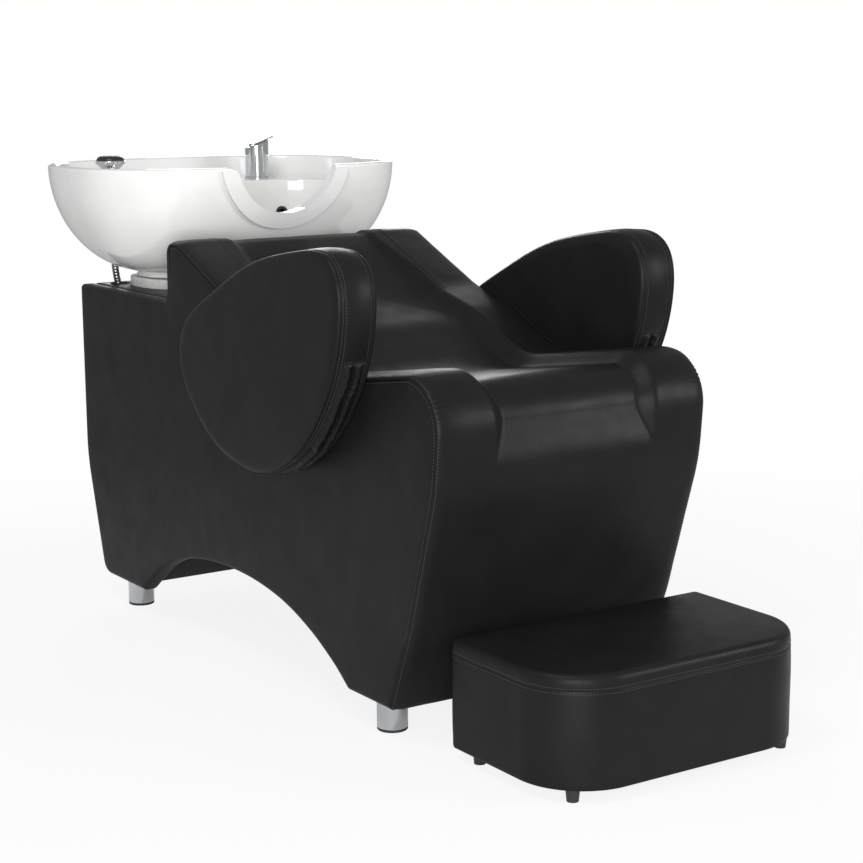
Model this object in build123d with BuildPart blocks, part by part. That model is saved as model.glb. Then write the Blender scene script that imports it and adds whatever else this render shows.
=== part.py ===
# Hair washing bed: an upholstered backwash seat, its tilting ceramic basin and a loose footstool.
# Frame: floor at Z = 0, X = 0 on the plane of symmetry, the sitter's feet point to -Y.
# Places along the bed are distances in front of the rear face of the body.

import os
from math import cos, pi, radians, sin, sqrt, tan

from build123d import *

os.makedirs("parts", exist_ok=True)

# Driving dimensions, in millimetres
body_width = 514.0
body_length = 1280.0
overall_width = 660.0
shelf_height = 630.0
neck_height = 741.0
floor_clearance = 57.0
panel_thickness = 30.0
board_thickness = 18.0
cover_lap = 8.0
soft_gap = 0.3
overrun = 5.0

# Basin and what stands in it
basin_width = 662.0
basin_depth = 520.0
basin_height = 250.0
basin_sink = 14.0
basin_distance = 126.0
bowl_depth = 180.0
deck_drop = 44.0
ceramic_wall = 14.0

# Footstool
stool_width = 490.0
stool_depth = 290.0
stool_height = 192.0
stool_distance = 1232.0

# Places that follow
half_body = body_width / 2
inner_half = half_body - panel_thickness
basin_overhang = basin_depth / 2 - basin_distance
footprint_length = stool_distance + stool_depth + basin_overhang
rear_y = footprint_length / 2 - basin_overhang
rim_height = shelf_height - basin_sink + basin_height
deck_height = rim_height - deck_drop
floor_height = rim_height - bowl_depth


def from_rear(distance):
    """Y of a place this far in front of the rear face of the body."""
    return rear_y - distance


def side_places(corners):
    """Side view corners, (distance, height), as sketch places on a YZ plane."""
    return [(from_rear(distance), height) for distance, height in corners]


def save(piece, name):
    """Labels a finished piece and writes it under its node name."""
    piece.part.label = name
    export_step(piece.part, f"parts/{name}.step")


def drawn_in(corners, amounts):
    """Corners of an open side outline, each run moved towards the inside by the corner's amount."""
    moved = []
    last = len(corners) - 1
    for index, corner in enumerate(corners):
        here = Vector(*corner)
        normals = []
        for start, end in ((index - 1, index), (index, index + 1)):
            if start >= 0 and end <= last:
                run = Vector(*corners[end]) - Vector(*corners[start])
                normals.append(Vector(run.Y, -run.X).normalized())
        middle = (normals[0] + normals[-1]).normalized()
        place = here + middle * (amounts[index] / middle.dot(normals[0]))
        moved.append((place.X, place.Y))
    return moved


# Seat outline, from the foot of the riser over the neck roll and the seat to the front foot
riser_distance = 385.0
front_foot_distance = 1142.0
outline_length_shares = (0.303, 0.342, 0.500, 0.594, 0.707, 0.951, 1.000, 0.991, 0.934)
outline_height_shares = (1.000, 1.000, 0.880, 0.839, 0.750, 0.811, 0.740, 0.570, 0.256)
outline_radius_shares = (0.032, 0.046, 0.340, 0.340, 0.216, 0.072, 0.067, 0.400, 0.540)
seat_radii = [share * neck_height for share in outline_radius_shares]


def seat_corners():
    """Corners of the upholstered outline in the side view."""
    top = [(a * body_length, b * neck_height) for a, b in zip(outline_length_shares, outline_height_shares)]
    return [(riser_distance, shelf_height)] + top + [(front_foot_distance, floor_clearance)]


# Side panels: padded boards with an arch between the feet
rear_lean_distance = 66.0
rear_lean_height = 285.0
foot_corner_radius = 30.0
rear_bend_radius = 300.0
shelf_corner_radius = 8.0
riser_foot_radius = 14.0
arch_rear_distance = 245.0
arch_front_distance = 1003.0
arch_height = 174.0
arch_distance_shares = (0.126, 0.257, 0.416, 0.574, 0.719, 0.838, 0.937)
arch_rise_shares = (0.56, 0.87, 1.00, 0.99, 0.85, 0.60, 0.28)
leg_side = 209.0
rear_leg_distance = 133.0
front_leg_distance = 1064.0

# Armrest fixings, as shares of the body's length and the neck height
arm_bolt_shares = ((0.523, 0.661), (0.594, 0.632), (0.664, 0.602))
arm_bolt_radius = 4.0
bolt_clearance = 0.5


def arm_bolt_places():
    """Side view places of the armrest bolts."""
    return [(a * body_length, b * neck_height) for a, b in arm_bolt_shares]


def side_panel_sketch(plane, grow=0):
    """Face of a side panel, set back from the seat cover by the lap of the cover."""
    corners = seat_corners()
    corners = drawn_in(corners, [cover_lap] * len(corners))
    foot = (front_foot_distance - cover_lap, floor_clearance)
    span = arch_front_distance - arch_rear_distance
    rise = arch_height - floor_clearance
    arch = [(arch_front_distance, floor_clearance)]
    for along, up in zip(reversed(arch_distance_shares), reversed(arch_rise_shares)):
        arch.append((arch_rear_distance + along * span, floor_clearance + up * rise))
    arch.append((arch_rear_distance, floor_clearance))
    path = [arch[-1], (rear_lean_distance, floor_clearance), (0, rear_lean_height), (0, shelf_height)]
    path += corners[:-1] + [foot, arch[0]]
    radii = [foot_corner_radius, rear_bend_radius, shelf_corner_radius, riser_foot_radius]
    radii += seat_radii + [foot_corner_radius]
    with BuildSketch(plane) as face:
        with BuildLine():
            FilletPolyline(*side_places(path), radius=radii)
            Spline(*side_places(arch))
        make_face()
        if grow:
            offset(amount=grow)
    return face.sketch


def side_panel(start):
    """A side panel whose inner or outer face starts at this X."""
    with BuildPart() as panel:
        extrude(side_panel_sketch(Plane.YZ.offset(start)), amount=panel_thickness)
        with BuildSketch(Plane.YZ.offset(start)):
            with Locations(*side_places(arm_bolt_places())):
                Circle(arm_bolt_radius + bolt_clearance)
        extrude(amount=panel_thickness, mode=Mode.SUBTRACT)
    return panel


side_panel_right = side_panel(inner_half)
save(side_panel_right, "side_panel_right")
side_panel_left = side_panel(-half_body)
save(side_panel_left, "side_panel_left")

# Boards that carry the cushion, drawn by their upper or outer corners
riser_thickness = 22.0
back_board_top = 690.0
board_break_distance = 880.0
board_break_height = 474.0
seat_board_front_height = 516.0
front_board_top_distance = 1240.0
seat_board_front_distance = front_board_top_distance
front_board_top_height = 452.0
front_board_foot_distance = 1109.0
rail_depth = 45.0
beam_height = 72.0
neck_distance = riser_distance + riser_thickness


def board_between(outline):
    """A solid between the side panels with this side view outline."""
    with BuildPart() as board:
        with BuildSketch(Plane.YZ.offset(-inner_half)):
            with BuildLine():
                Polyline(*side_places(outline), close=True)
            make_face()
        extrude(amount=2 * inner_half)
    return board


back_fall = (back_board_top - board_break_height) / (board_break_distance - neck_distance)
back_board_drop = board_thickness * sqrt(1 + back_fall**2)
back_board = board_between([
    (neck_distance, back_board_top),
    (board_break_distance, board_break_height),
    (board_break_distance, board_break_height - back_board_drop),
    (neck_distance, back_board_top - back_board_drop),
])
save(back_board, "back_board")

seat_board = board_between([
    (board_break_distance, board_break_height),
    (seat_board_front_distance, seat_board_front_height),
    (seat_board_front_distance, seat_board_front_height - board_thickness),
    (board_break_distance, board_break_height - board_thickness),
])
save(seat_board, "seat_board")

beam_top = back_board_top - back_board_drop
neck_beam = board_between([
    (neck_distance, beam_top),
    (neck_distance + rail_depth, beam_top - rail_depth * back_fall),
    (neck_distance + rail_depth, beam_top - beam_height),
    (neck_distance, beam_top - beam_height),
])
save(neck_beam, "neck_beam")

front_board = board_between([
    (front_board_foot_distance, floor_clearance),
    (front_board_top_distance, front_board_top_height),
    (front_board_top_distance - board_thickness, front_board_top_height),
    (front_board_foot_distance - board_thickness, floor_clearance),
])
save(front_board, "front_board")

# Cross rails: under the break of the boards, under the seat's front edge and at the front foot,
# where the rail runs between the corner blocks of the legs
block_size = 60.0
break_rail_height = 60.0
foot_rail_height = 90.0
foot_rail_depth = 24.0
seat_run = seat_board_front_distance - board_break_distance
seat_rise = (seat_board_front_height - board_break_height) / seat_run
front_rise = front_board_top_height - floor_clearance
front_lean = (front_board_top_distance - front_board_foot_distance) / front_rise
break_rail_top = board_break_height - board_thickness
seat_under = seat_board_front_height - board_thickness
foot_rail_distance = front_board_foot_distance - board_thickness - foot_rail_depth
foot_rail_front = foot_rail_distance + foot_rail_depth
front_rail_distance = front_board_top_distance - rail_depth
rail_outlines = [
    [
        (board_break_distance, break_rail_top),
        (board_break_distance + rail_depth, break_rail_top + rail_depth * seat_rise),
        (board_break_distance + rail_depth, break_rail_top - break_rail_height),
        (board_break_distance, break_rail_top - break_rail_height),
    ],
    [
        (front_rail_distance, front_board_top_height),
        (front_board_top_distance, front_board_top_height),
        (front_board_top_distance, seat_under),
        (front_rail_distance, seat_under - seat_rise * rail_depth),
    ],
    [
        (foot_rail_distance, floor_clearance),
        (foot_rail_front, floor_clearance),
        (foot_rail_front + front_lean * foot_rail_height, floor_clearance + foot_rail_height),
        (foot_rail_distance, floor_clearance + foot_rail_height),
    ],
]
rail_half_lengths = (inner_half, inner_half, inner_half - block_size)
with BuildPart() as cross_rails:
    for outline, half_length in zip(rail_outlines, rail_half_lengths):
        with BuildSketch(Plane.YZ.offset(-half_length)):
            with BuildLine():
                Polyline(*side_places(outline), close=True)
            make_face()
        extrude(amount=2 * half_length)
save(cross_rails, "cross_rails")

# Seat and back cushion: one cover from the riser over the seat to the front foot.
# Its cross section swells on two side bolsters and sinks to a channel between them.
channel_depth = 21.0
edge_draw = 7.0
channel_corner_shares = (0, 0.35, 0.45, 1, 1, 1, 1, 0.9, 0, 0, 0)
section_place_shares = (-1, -0.94, -0.80, -0.64, -0.48, -0.24, 0, 0.24, 0.48, 0.64, 0.80, 0.94, 1)
section_edge_shares = (1, 0.2, 0, 0, 0, 0, 0, 0, 0, 0, 0, 0.2, 1)
section_channel_shares = (0, 0, 0, 0.15, 1, 0.93, 0.88, 0.93, 1, 0.15, 0, 0, 0)


def cushion_face(plane, edge, channel):
    """Side view face of the cushion, drawn in at its edge and sunk in its channel."""
    corners = seat_corners()
    amounts = [edge_draw * edge + channel_depth * channel * share for share in channel_corner_shares]
    outer = drawn_in(corners, amounts)
    outer[0] = (outer[0][0], shelf_height)
    outer[-1] = (outer[-1][0], floor_clearance)
    under = [
        (front_board_foot_distance, floor_clearance),
        (front_board_top_distance, front_board_top_height),
        (seat_board_front_distance, seat_under),
        (seat_board_front_distance, seat_board_front_height),
        (board_break_distance, board_break_height),
        (neck_distance, back_board_top),
        (neck_distance, shelf_height),
    ]
    with BuildSketch(plane) as face:
        with BuildLine():
            FilletPolyline(*side_places(outer), radius=seat_radii)
            Polyline(*side_places([outer[-1]] + under + [outer[0]]))
        make_face()
    return face.sketch


cushion_sections = [
    cushion_face(Plane.YZ.offset(place * half_body), edge, channel)
    for place, edge, channel in zip(section_place_shares, section_edge_shares, section_channel_shares)
]
with BuildPart() as seat_back_cushion:
    loft(cushion_sections)
    for start in (inner_half - soft_gap, -half_body - overrun):
        panel_space = side_panel_sketch(Plane.YZ.offset(start), soft_gap)
        extrude(panel_space, amount=panel_thickness + overrun + soft_gap, mode=Mode.SUBTRACT)
save(seat_back_cushion, "seat_back_cushion")

# Rear shelf, plumbing partition and rear cover
shelf_thickness = 22.0
partition_distance = 182.0
partition_top = 430.0
drain_distance = 165.0
drain_slot_distance = 175.0
drain_slot_length = 68.0
drain_slot_width = 46.0
hose_hole_radius = 15.0
grommet_wall = 2.0
grommet_lip = 3.5
grommet_lip_height = 2.0
hose_down_side = 190.5
hose_down_distance = 43.0
hose_up_side = 137.0
hose_up_distance = 88.0
hose_holes = [
    (-hose_down_side, from_rear(hose_down_distance)),
    (hose_up_side, from_rear(hose_up_distance)),
]
stand_screw_radius = 2.5
stand_screw_head_radius = 5.0
stand_screw_head = 2.5
stand_screw_length = 20.0
stand_half_width = 104.0
stand_rear_distance = 43.0
stand_front_distance = 207.0
stand_plate_thickness = 4.0
stand_screw_side = 84.0
stand_screw_distances = (70.0, 185.0)
stand_screw_places = [
    (side * stand_screw_side, from_rear(distance))
    for side in (-1, 1)
    for distance in stand_screw_distances
]

with BuildPart() as rear_shelf:
    with BuildSketch(Plane.XY.offset(shelf_height - shelf_thickness)):
        with Locations((0, from_rear(neck_distance / 2))):
            Rectangle(2 * inner_half, neck_distance)
        with Locations((0, from_rear(drain_slot_distance))):
            SlotOverall(drain_slot_length, drain_slot_width, rotation=90, mode=Mode.SUBTRACT)
        with Locations(*hose_holes):
            Circle(hose_hole_radius + grommet_wall, mode=Mode.SUBTRACT)
    extrude(amount=shelf_thickness)
    with BuildSketch(Plane.XY.offset(shelf_height)):
        with Locations(*stand_screw_places):
            Circle(stand_screw_radius)
    extrude(amount=stand_plate_thickness - stand_screw_length, mode=Mode.SUBTRACT)
save(rear_shelf, "rear_shelf")

with BuildPart() as shelf_grommets:
    with BuildSketch(Plane.XY.offset(shelf_height - shelf_thickness)):
        with Locations(*hose_holes):
            Circle(hose_hole_radius + grommet_wall)
    extrude(amount=shelf_thickness)
    with BuildSketch(Plane.XY.offset(shelf_height)):
        with Locations(*hose_holes):
            Circle(hose_hole_radius + grommet_lip)
    extrude(amount=grommet_lip_height)
    with BuildSketch(Plane.XY.offset(shelf_height - shelf_thickness)):
        with Locations(*hose_holes):
            Circle(hose_hole_radius)
    extrude(amount=shelf_thickness + grommet_lip_height, mode=Mode.SUBTRACT)
save(shelf_grommets, "shelf_grommets")

plumbing_partition = board_between([
    (partition_distance, floor_clearance),
    (partition_distance + board_thickness, floor_clearance),
    (partition_distance + board_thickness, partition_top),
    (partition_distance, partition_top),
])
save(plumbing_partition, "plumbing_partition")

# Rear cover: follows the rear edge of the side panels, held by four screws to two battens
cover_screw_radius = 3.0
cover_screw_head_radius = 6.0
cover_screw_head = 2.5
cover_screw_length = 30.0
batten_size = 30.0
cover_foot_clearance = 8.0
cover_screw_height_shares = (0.12, 0.88)
cover_screw_side = inner_half - batten_size / 2
rear_lean = rear_lean_distance / (rear_lean_height - floor_clearance)
cover_foot_height = floor_clearance + cover_foot_clearance
cover_foot_distance = rear_lean_distance - rear_lean * cover_foot_clearance
rear_cover_outline = [
    (0, shelf_height - shelf_thickness),
    (0, rear_lean_height),
    (cover_foot_distance, cover_foot_height),
    (cover_foot_distance + board_thickness, cover_foot_height),
    (board_thickness, rear_lean_height),
    (board_thickness, shelf_height - shelf_thickness),
]
batten_foot = rear_lean_height
batten_head = shelf_height - shelf_thickness
screw_places = [
    (side * cover_screw_side, batten_foot + share * (batten_head - batten_foot))
    for side in (-1, 1)
    for share in cover_screw_height_shares
]
rear_face = Plane.XZ.offset(-rear_y)
with BuildPart() as rear_cover:
    with BuildSketch(Plane.YZ.offset(-inner_half)):
        with BuildLine():
            Polyline(*side_places(rear_cover_outline), close=True)
        make_face()
    extrude(amount=2 * inner_half)
    with BuildSketch(rear_face):
        with Locations(*screw_places):
            Circle(cover_screw_radius)
    extrude(amount=board_thickness, mode=Mode.SUBTRACT)
save(rear_cover, "rear_cover")

with BuildPart() as cover_battens:
    with BuildSketch(Plane.XY.offset(batten_foot)):
        for side in (-1, 1):
            with Locations((side * cover_screw_side, from_rear(board_thickness + batten_size / 2))):
                Rectangle(batten_size, batten_size)
    extrude(amount=batten_head - batten_foot)
    with BuildSketch(rear_face.offset(board_thickness)):
        with Locations(*screw_places):
            Circle(cover_screw_radius)
    extrude(amount=cover_screw_length - board_thickness, mode=Mode.SUBTRACT)
save(cover_battens, "cover_battens")

with BuildPart() as rear_cover_screws:
    with BuildSketch(rear_face):
        with Locations(*screw_places):
            Circle(cover_screw_radius)
    extrude(amount=cover_screw_length)
    with BuildSketch(rear_face):
        with Locations(*screw_places):
            Circle(cover_screw_head_radius)
    extrude(amount=-cover_screw_head)
save(rear_cover_screws, "rear_cover_screws")

# Legs: chrome cups bolted up into corner blocks, each with a black foot pad
leg_radius = 25.0
leg_wall = 2.0
leg_top_wall = 4.0
pad_height = 5.0
pad_spigot = 8.0
leg_bolt_radius = 4.0
leg_bolt_head_radius = 7.0
leg_bolt_head = 5.0
leg_bolt_length = 44.0
block_height = 70.0
block_limit = front_board_foot_distance - board_thickness - block_size / 2
leg_places = {
    "rear_left": (-leg_side, rear_leg_distance),
    "rear_right": (leg_side, rear_leg_distance),
    "front_left": (-leg_side, front_leg_distance),
    "front_right": (leg_side, front_leg_distance),
}
leg_spots = [(side, from_rear(distance)) for side, distance in leg_places.values()]
bolt_base = floor_clearance - leg_top_wall

with BuildPart() as corner_blocks:
    with BuildSketch(Plane.XY.offset(floor_clearance)):
        for side, distance in leg_places.values():
            block_side = (inner_half - block_size / 2) * (1 if side > 0 else -1)
            block_distance = min(distance, block_limit)
            with Locations((block_side, from_rear(block_distance))):
                Rectangle(block_size, block_size)
    extrude(amount=block_height)
    with BuildSketch(Plane.XY.offset(floor_clearance)):
        with Locations(*leg_spots):
            Circle(leg_bolt_radius)
    extrude(amount=leg_bolt_length - leg_top_wall, mode=Mode.SUBTRACT)
save(corner_blocks, "corner_blocks")

for corner, (side, distance) in leg_places.items():
    spot = (side, from_rear(distance))
    with BuildPart() as leg:
        with BuildSketch(Plane.XY.offset(pad_height)):
            with Locations(spot):
                Circle(leg_radius)
        extrude(amount=floor_clearance - pad_height)
        with BuildSketch(Plane.XY.offset(pad_height)):
            with Locations(spot):
                Circle(leg_radius - leg_wall)
        extrude(amount=floor_clearance - pad_height - leg_top_wall, mode=Mode.SUBTRACT)
        with BuildSketch(Plane.XY.offset(bolt_base)):
            with Locations(spot):
                Circle(leg_bolt_radius)
        extrude(amount=leg_top_wall, mode=Mode.SUBTRACT)
    save(leg, f"leg_{corner}")
    with BuildPart() as pad:
        with BuildSketch(Plane.XY):
            with Locations(spot):
                Circle(leg_radius)
        extrude(amount=pad_height)
        chamfer(pad.edges().group_by(Axis.Z)[0], pad_height / 4)
        with BuildSketch(Plane.XY.offset(pad_height)):
            with Locations(spot):
                Circle(leg_radius - leg_wall)
        extrude(amount=pad_spigot)
    save(pad, f"foot_pad_{corner}")

with BuildPart() as leg_bolts:
    with BuildSketch(Plane.XY.offset(bolt_base)):
        with Locations(*leg_spots):
            Circle(leg_bolt_radius)
    extrude(amount=leg_bolt_length)
    with BuildSketch(Plane.XY.offset(bolt_base)):
        with Locations(*leg_spots):
            RegularPolygon(leg_bolt_head_radius, 6)
    extrude(amount=-leg_bolt_head)
save(leg_bolts, "leg_bolts")

# Armrests: teardrop pads on inner boards, bolted through the side panels
arm_thickness = (overall_width - body_width) / 2
arm_length_shares = (0.881, 0.861, 0.770, 0.664, 0.539, 0.444, 0.452, 0.656)
arm_height_shares = (1.063, 0.796, 0.598, 0.526, 0.564, 0.715, 0.834, 1.001)
arm_radius_shares = (0.081, 0.350, 0.350, 0.150, 0.200, 0.078, 0.078, 0.540)
arm_section_shares = (0, 0.10, 0.45, 0.80, 0.92, 0.98, 1)
arm_section_inset_shares = (0.11, 0.02, 0, 0.02, 0.08, 0.20, 0.45)
arm_board_inset = 24.0
arm_board_thickness = 12.0
arm_bolt_head_radius = 7.0
arm_bolt_head = 5.0
arm_bolt_end = 2.0


def arm_sketch(plane, inset):
    """Teardrop outline of an armrest, drawn in all round by an inset."""
    corners = [(a * body_length, b * neck_height) for a, b in zip(arm_length_shares, arm_height_shares)]
    count = len(corners)
    moved = []
    for index, corner in enumerate(corners):
        here = Vector(*corner)
        before = here - Vector(*corners[index - 1])
        after = Vector(*corners[(index + 1) % count]) - here
        square = Vector(before.Y, -before.X).normalized()
        other = Vector(after.Y, -after.X).normalized()
        middle = (square + other).normalized()
        place = here + middle * (inset / middle.dot(square))
        moved.append((place.X, place.Y))
    radii = [share * neck_height - inset for share in arm_radius_shares]
    with BuildSketch(plane) as face:
        with BuildLine():
            FilletPolyline(*side_places(moved), radius=radii, close=True)
        make_face()
    return face.sketch


for side, name in ((-1, "left"), (1, "right")):
    arm_start = side * (half_body + soft_gap)
    arm_depth = side * (arm_thickness - soft_gap)
    arm_faces = [
        arm_sketch(Plane.YZ.offset(arm_start + share * arm_depth), inset_share * arm_thickness)
        for share, inset_share in zip(arm_section_shares, arm_section_inset_shares)
    ]
    with BuildPart() as armrest_pad:
        loft(arm_faces, ruled=True)
        pocket = arm_sketch(Plane.YZ.offset(arm_start), arm_board_inset - soft_gap)
        extrude(pocket, amount=side * (arm_board_thickness + soft_gap), mode=Mode.SUBTRACT)
    save(armrest_pad, f"armrest_pad_{name}")
    with BuildPart() as armrest_board:
        board_face = arm_sketch(Plane.YZ.offset(side * half_body), arm_board_inset)
        extrude(board_face, amount=side * arm_board_thickness)
        with BuildSketch(Plane.YZ.offset(side * half_body)):
            with Locations(*side_places(arm_bolt_places())):
                Circle(arm_bolt_radius)
        extrude(amount=side * (arm_board_thickness - arm_bolt_end), mode=Mode.SUBTRACT)
    save(armrest_board, f"armrest_board_{name}")
    with BuildPart() as armrest_bolts:
        with BuildSketch(Plane.YZ.offset(side * inner_half)):
            with Locations(*side_places(arm_bolt_places())):
                Circle(arm_bolt_radius)
        extrude(amount=side * (panel_thickness + arm_board_thickness - arm_bolt_end))
        with BuildSketch(Plane.YZ.offset(side * inner_half)):
            with Locations(*side_places(arm_bolt_places())):
                Circle(arm_bolt_head_radius)
        extrude(amount=-side * arm_bolt_head)
    save(armrest_bolts, f"armrest_bolts_{name}")

# Outlines of the ceramic: superellipses that draw in with depth like a quarter of an ellipse
oval_power = 2.8
oval_points = 16
rim_round = 6.0
rim_depth_shares = (1, 0.4, 0)
rim_inset_shares = (0, 0.2, 1)
shell_height = 204.0
shell_inset = 170.0
shell_fall = 208.0
shell_depth_shares = (0, 0.3, 0.56, 0.76, 0.89, 0.965, 1)
bowl_half_width = 262.0
bowl_half_depth = 160.0
bowl_distance = 196.0
bowl_inset = 120.0
bowl_fall = 140.0
bowl_edge_round = 4.0
bowl_depth_shares = (0, 0.32, 0.58, 0.78, 0.91, 0.975, 1)
bowl_outer_wall = 13.0
bowl_outer_fall = 149.5


def drawn(depth, inset, fall):
    """How far a wall has drawn in at this depth below its top."""
    return inset * (1 - sqrt(1 - (depth / fall) ** 2))


def oval(height, half_width, half_depth, distance):
    """Horizontal superellipse face at a height, its centre this far from the rear face."""
    corners = []
    for step in range(oval_points):
        angle = 2 * pi * step / oval_points
        reach = (abs(cos(angle)) ** oval_power + abs(sin(angle)) ** oval_power) ** (-1 / oval_power)
        along = from_rear(distance) + half_depth * reach * sin(angle)
        corners.append((half_width * reach * cos(angle), along))
    with BuildSketch(Plane.XY.offset(height)) as face:
        with BuildLine():
            Spline(*corners, periodic=True)
        make_face()
    return face.sketch


def shell_face(depth, grow=0):
    """Outer face of the basin at a depth below the rim."""
    out = grow - drawn(depth, shell_inset, shell_fall)
    return oval(rim_height - depth, basin_width / 2 + out, basin_depth / 2 + out, basin_distance)


def bowl_face(depth, grow=0, fall=bowl_fall):
    """Inner face of the bowl at a depth below the deck, or its outer face when grown by the wall."""
    out = grow - drawn(depth, bowl_inset, fall)
    return oval(deck_height - depth, bowl_half_width + out, bowl_half_depth + out, bowl_distance)


def shell_faces(grow=0):
    """Faces of the basin shell from under the rounded rim down to its foot."""
    span = shell_height - rim_round
    return [shell_face(rim_round + share * span, grow) for share in shell_depth_shares]


# Space inside the skirt, left open at the foot, with the outside of the bowl hanging in it
hollow_top = 58.0
foot_ledge = 6.0
foot_opening_half_width = 165.0
foot_opening_half_depth = 95.0
hollow_shares = (0, 0.38, 0.70, 0.90, 1)
bowl_top_depth = 7.0
hollow_span = shell_height - foot_ledge - hollow_top
outer_bowl_span = deck_height - floor_height + bowl_outer_wall - bowl_top_depth
basin_foot_height = rim_height - shell_height
with BuildPart() as under_space:
    loft([shell_face(hollow_top + share * hollow_span, -ceramic_wall) for share in hollow_shares])
    opening_base = basin_foot_height - overrun
    opening = oval(opening_base, foot_opening_half_width, foot_opening_half_depth, basin_distance)
    extrude(opening, amount=overrun + foot_ledge)
    outer_bowl = [
        bowl_face(bowl_top_depth + share * outer_bowl_span, bowl_outer_wall, bowl_outer_fall)
        for share in bowl_depth_shares
    ]
    loft(outer_bowl, mode=Mode.SUBTRACT)

# Neck recess in the front rim, with a raised lip band round it
neck_radius = 107.0
neck_lift = 19.0
neck_rear_distance = 300.0
neck_front_distance = 410.0
neck_shoulder = 20.0
shoulder_width = 300.0
lip_radius = 137.0
lip_rise = 8.0
lip_rear_distance = 350.0
neck_plane = Plane.XZ.offset(-from_rear(neck_rear_distance))
lip_plane = Plane.XZ.offset(-from_rear(lip_rear_distance))
neck_centre = (0, rim_height + neck_lift)
with BuildPart() as lip_band:
    loft(shell_faces(lip_rise))
    with BuildSketch(lip_plane):
        with Locations(neck_centre):
            Circle(lip_radius)
        with Locations((0, rim_height - rim_round + lip_radius)):
            Rectangle(shoulder_width, 2 * lip_radius, mode=Mode.SUBTRACT)
    extrude(amount=neck_front_distance - lip_rear_distance, mode=Mode.INTERSECT)

# Recess inside the rim, down to the deck behind the bowl
recess_half_width = 316.0
recess_half_depth = 245.0
recess_draw = 7.0
hollow_top_height = rim_height - hollow_top

# Places of the fittings on the basin
mixer_side = 159.0
mixer_distance = -22.0
mixer_spot = (mixer_side, from_rear(mixer_distance))
mixer_hole_radius = 17.5
shower_side = 202.0
shower_distance = 46.0
shower_spot = (-shower_side, from_rear(shower_distance))
shower_hole_radius = 15.5
shower_foot = 712.0
hose_exit_radius = 13.0
hose_exit_height = 655.0
drain_spot = (0, from_rear(drain_distance))
drain_hole_radius = 24.5
overflow_side = 165.0
overflow_height = 756.0
overflow_hole_radius = 9.0
overflow_reach = 30.0


def bowl_wall_plane(side, height):
    """Plane on the rear inner wall of the bowl at this X and height, looking out into the bowl."""
    depth = deck_height - height
    inset = drawn(depth, bowl_inset, bowl_fall)
    lean = bowl_inset * depth / bowl_fall**2 / sqrt(1 - (depth / bowl_fall) ** 2)
    wide = bowl_half_width - inset
    deep = bowl_half_depth - inset
    across = abs(side) / wide
    along = (1 - across**oval_power) ** (1 / oval_power)
    slope_x = across ** (oval_power - 1) / wide
    slope_y = along ** (oval_power - 1) / deep
    slope_z = -lean * (across**oval_power / wide + along**oval_power / deep)
    place = (side, from_rear(bowl_distance) + along * deep, height)
    outward = Vector(-slope_x * side / abs(side), -slope_y, -slope_z)
    return Plane(place, z_dir=outward.normalized())


overflow_plane = bowl_wall_plane(overflow_side, overflow_height)
with BuildPart() as basin:
    loft(shell_faces())
    rim = [
        shell_face(rim_round * depth, -rim_round * inset)
        for depth, inset in zip(rim_depth_shares, rim_inset_shares)
    ]
    loft(rim, ruled=True)
    add(lip_band.part)
    add(under_space.part, mode=Mode.SUBTRACT)
    inner_rim = [
        oval(
            rim_height - rim_round * depth,
            recess_half_width + rim_round * inset,
            recess_half_depth + rim_round * inset,
            basin_distance,
        )
        for depth, inset in zip(rim_depth_shares, rim_inset_shares)
    ]
    deck_outline = oval(
        deck_height, recess_half_width - recess_draw, recess_half_depth - recess_draw, basin_distance
    )
    loft([deck_outline] + inner_rim, ruled=True, mode=Mode.SUBTRACT)
    bowl_span = deck_height - floor_height
    loft([bowl_face(share * bowl_span) for share in bowl_depth_shares], mode=Mode.SUBTRACT)
    bowl_edge = [
        bowl_face(bowl_edge_round * depth, bowl_edge_round * inset)
        for depth, inset in zip(rim_depth_shares, rim_inset_shares)
    ]
    loft(bowl_edge, ruled=True, mode=Mode.SUBTRACT)
    with BuildSketch(neck_plane) as neck:
        with Locations(neck_centre):
            Circle(neck_radius)
        with Locations((0, rim_height + overrun)):
            Rectangle(shoulder_width, 2 * overrun)
        shoulders = [
            corner for corner in neck.vertices()
            if abs(corner.X) < neck_radius and corner.Y < rim_height + soft_gap
        ]
        fillet(shoulders, neck_shoulder)
    extrude(amount=neck_front_distance - neck_rear_distance, mode=Mode.SUBTRACT)
    with BuildSketch(Plane.XY.offset(deck_height)):
        with Locations(mixer_spot):
            Circle(mixer_hole_radius)
    extrude(amount=hollow_top_height - deck_height - overrun, mode=Mode.SUBTRACT)
    with BuildSketch(Plane.XY.offset(deck_height)):
        with Locations(shower_spot):
            Circle(shower_hole_radius)
    extrude(amount=shower_foot - deck_height, mode=Mode.SUBTRACT)
    with BuildSketch(Plane.XY.offset(shower_foot)):
        with Locations(shower_spot):
            Circle(hose_exit_radius)
    extrude(amount=hose_exit_height - shower_foot, mode=Mode.SUBTRACT)
    with BuildSketch(Plane.XY.offset(floor_height)):
        with Locations(drain_spot):
            Circle(drain_hole_radius)
    extrude(amount=-bowl_outer_wall - overrun, mode=Mode.SUBTRACT)
    with BuildSketch(overflow_plane):
        Circle(overflow_hole_radius)
    extrude(amount=-overflow_reach, mode=Mode.SUBTRACT)
save(basin, "basin")

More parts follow.
